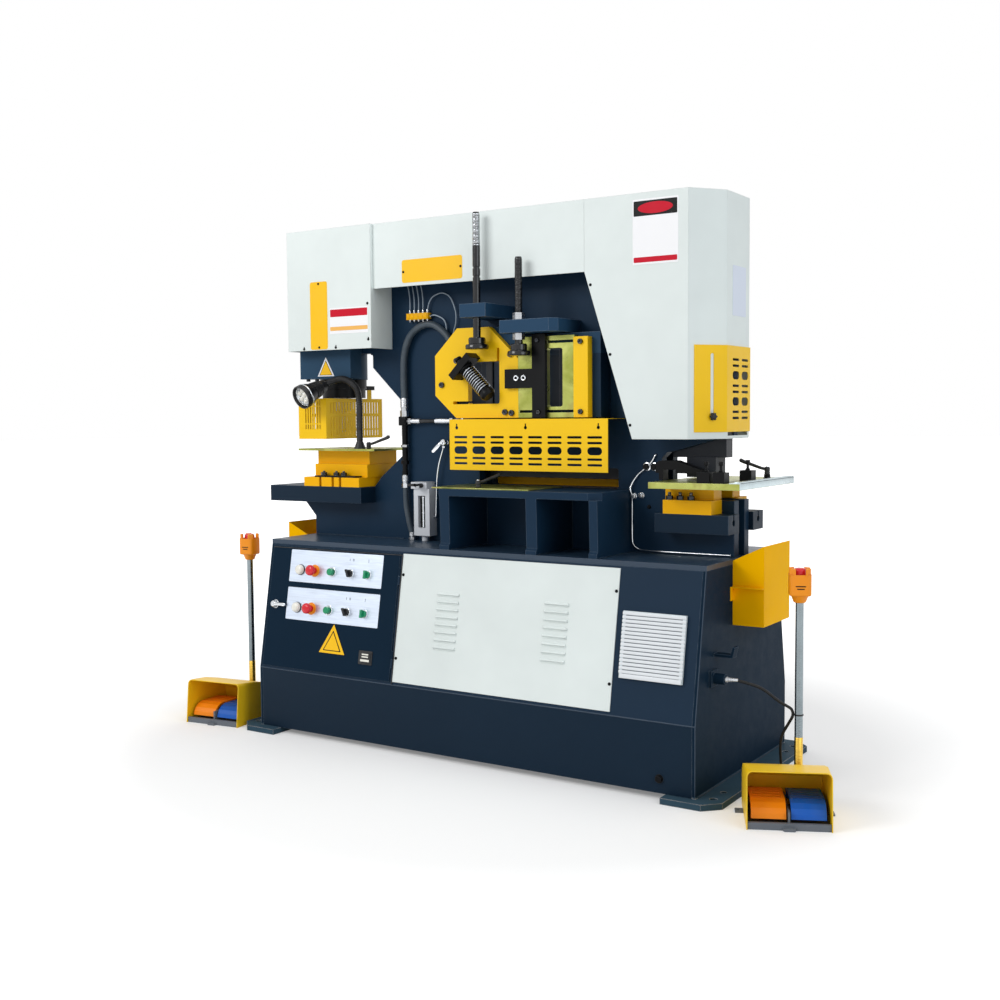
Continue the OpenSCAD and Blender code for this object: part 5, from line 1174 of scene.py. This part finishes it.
for s in (-1, 1):
    weld([(-885, s * (FRAME_Y + 0.5), TOP + 0.5), (-450, s * (FRAME_Y + 0.5), TOP + 0.5)])
    weld([(525, s * (FRAME_Y + 0.5), TOP + 0.5), (885, s * (FRAME_Y + 0.5), TOP + 0.5)])
for x in (-108, -68, 246, 288, 487, 518):
    weld([(x, -FRAME_Y - 4, TOP + 0.5), (x, 14 - HALF_TOP, TOP + 0.5)], 6)
for x in (-68, 246, 288, 487):
    s = 1 if x in (-68, 288) else -1
    weld([(x + s * 0.5, -FRAME_Y, TOP + 4), (x + s * 0.5, -FRAME_Y, up(186))], 6)
piece("weld_beads", navy)

for s in (-1, 1):
    weld([(s * 900.5, -370, 21), (s * 900.5, 370, 21)], 8, 6)
piece("foot_welds", navy)

# ---- control gear seen when the door is open -------------------------------

GEAR_Y = limits("electric_plate")[1].y - 4
for i in range(6):
    x = -820 + i * 62
    for k in range(3):
        rod(3.6, 0, 2, facing(x + 10 + k * 14, GEAR_Y - 85, LEDGE + 365), 12)
    slab(rect(30, 22), 0, 3, facing(x + 24, GEAR_Y - 85, LEDGE + 320), 1, 2, 2)
piece("contactor_fronts", black_plastic)
for i in range(20):
    x = -811 + i * 22
    rod(3, 0, 1.2, facing(x, GEAR_Y - 50, LEDGE + 90), 12)
    rod(3, 0, 1.2, facing(x, GEAR_Y - 50, LEDGE + 60), 12)
piece("terminal_screws", brass)

# ---- floor, lights and world -----------------------------------------------

FLOOR_NEAR, FLOOR_FAR, FLOOR_GLOW = 1.3, 3.0, 0.2
WORLD_LIGHT = 0.5


def looked_at(tree):
    """1 where the camera, a gloss or clear glass looks straight at a surface, or else 0."""
    path = node(tree, "LightPath").outputs
    seen = math_node(tree, "MAXIMUM", path["Is Camera Ray"], path["Is Glossy Ray"])
    return math_node(tree, "MAXIMUM", seen, path["Is Transmission Ray"])


def pale_floor():
    """A matt floor that keeps the shadow and turns into the white background further out."""
    m = bpy.data.materials.new("pale_floor")
    m.use_nodes = True
    tree = m.node_tree
    shader = tree.nodes["Principled BSDF"]
    shader.inputs["Base Color"].default_value = (0.8, 0.8, 0.8, 1)
    shader.inputs["Roughness"].default_value = 0.8
    shader.inputs["Specular IOR Level"].default_value = 0.1
    shader.inputs["Emission Color"].default_value = (1, 1, 1, 1)
    reach = node(tree, "VectorMath", {0: here_in(tree)}, operation="LENGTH")
    glow = spread(tree, reach.outputs["Value"], FLOOR_NEAR, FLOOR_FAR, FLOOR_GLOW, 1.0)
    tree.links.new(math_node(tree, "MULTIPLY", looked_at(tree), glow), shader.inputs["Emission Strength"])
    return m


grid = bmesh.new()
bmesh.ops.create_grid(grid, x_segments=2, y_segments=2, size=60)
floor_mesh = bpy.data.meshes.new("floor")
grid.to_mesh(floor_mesh)
grid.free()
floor = bpy.data.objects.new("floor", floor_mesh)
bpy.context.scene.collection.objects.link(floor)
floor_mesh.materials.append(pale_floor())

world = bpy.data.worlds.new("studio")
bpy.context.scene.world = world
world.use_nodes = True
tree = world.node_tree
tree.nodes.clear()
strength = spread(tree, looked_at(tree), 0.0, 1.0, WORLD_LIGHT, 1.0)
back = node(tree, "Background", {"Color": (1, 1, 1, 1), "Strength": strength})
tree.links.new(back.outputs[0], node(tree, "OutputWorld").inputs["Surface"])


def lamp_light(name, place, target, size, watts, colour=(1, 1, 1)):
    """A rectangular light at a place, turned to its target."""
    data = bpy.data.lights.new(name, "AREA")
    data.shape = "RECTANGLE"
    data.size, data.size_y = size
    data.energy = watts
    data.color = colour
    o = bpy.data.objects.new(name, data)
    bpy.context.scene.collection.objects.link(o)
    o.location = place
    o.rotation_euler = (Vector(target) - Vector(place)).to_track_quat("-Z", "Y").to_euler()


lamp_light("key", (-2.2, -4.6, 3.6), (0, 0, 0.9), (2.6, 2.0), 118)
lamp_light("fill", (4.6, -1.6, 2.4), (0.3, 0, 0.9), (2.4, 2.4), 44, (0.85, 0.93, 1.0))
lamp_light("top", (0.3, 0.4, 4.4), (0, 0, 0.8), (3.4, 2.4), 60)

bpy.context.scene.view_settings.view_transform = "Standard"
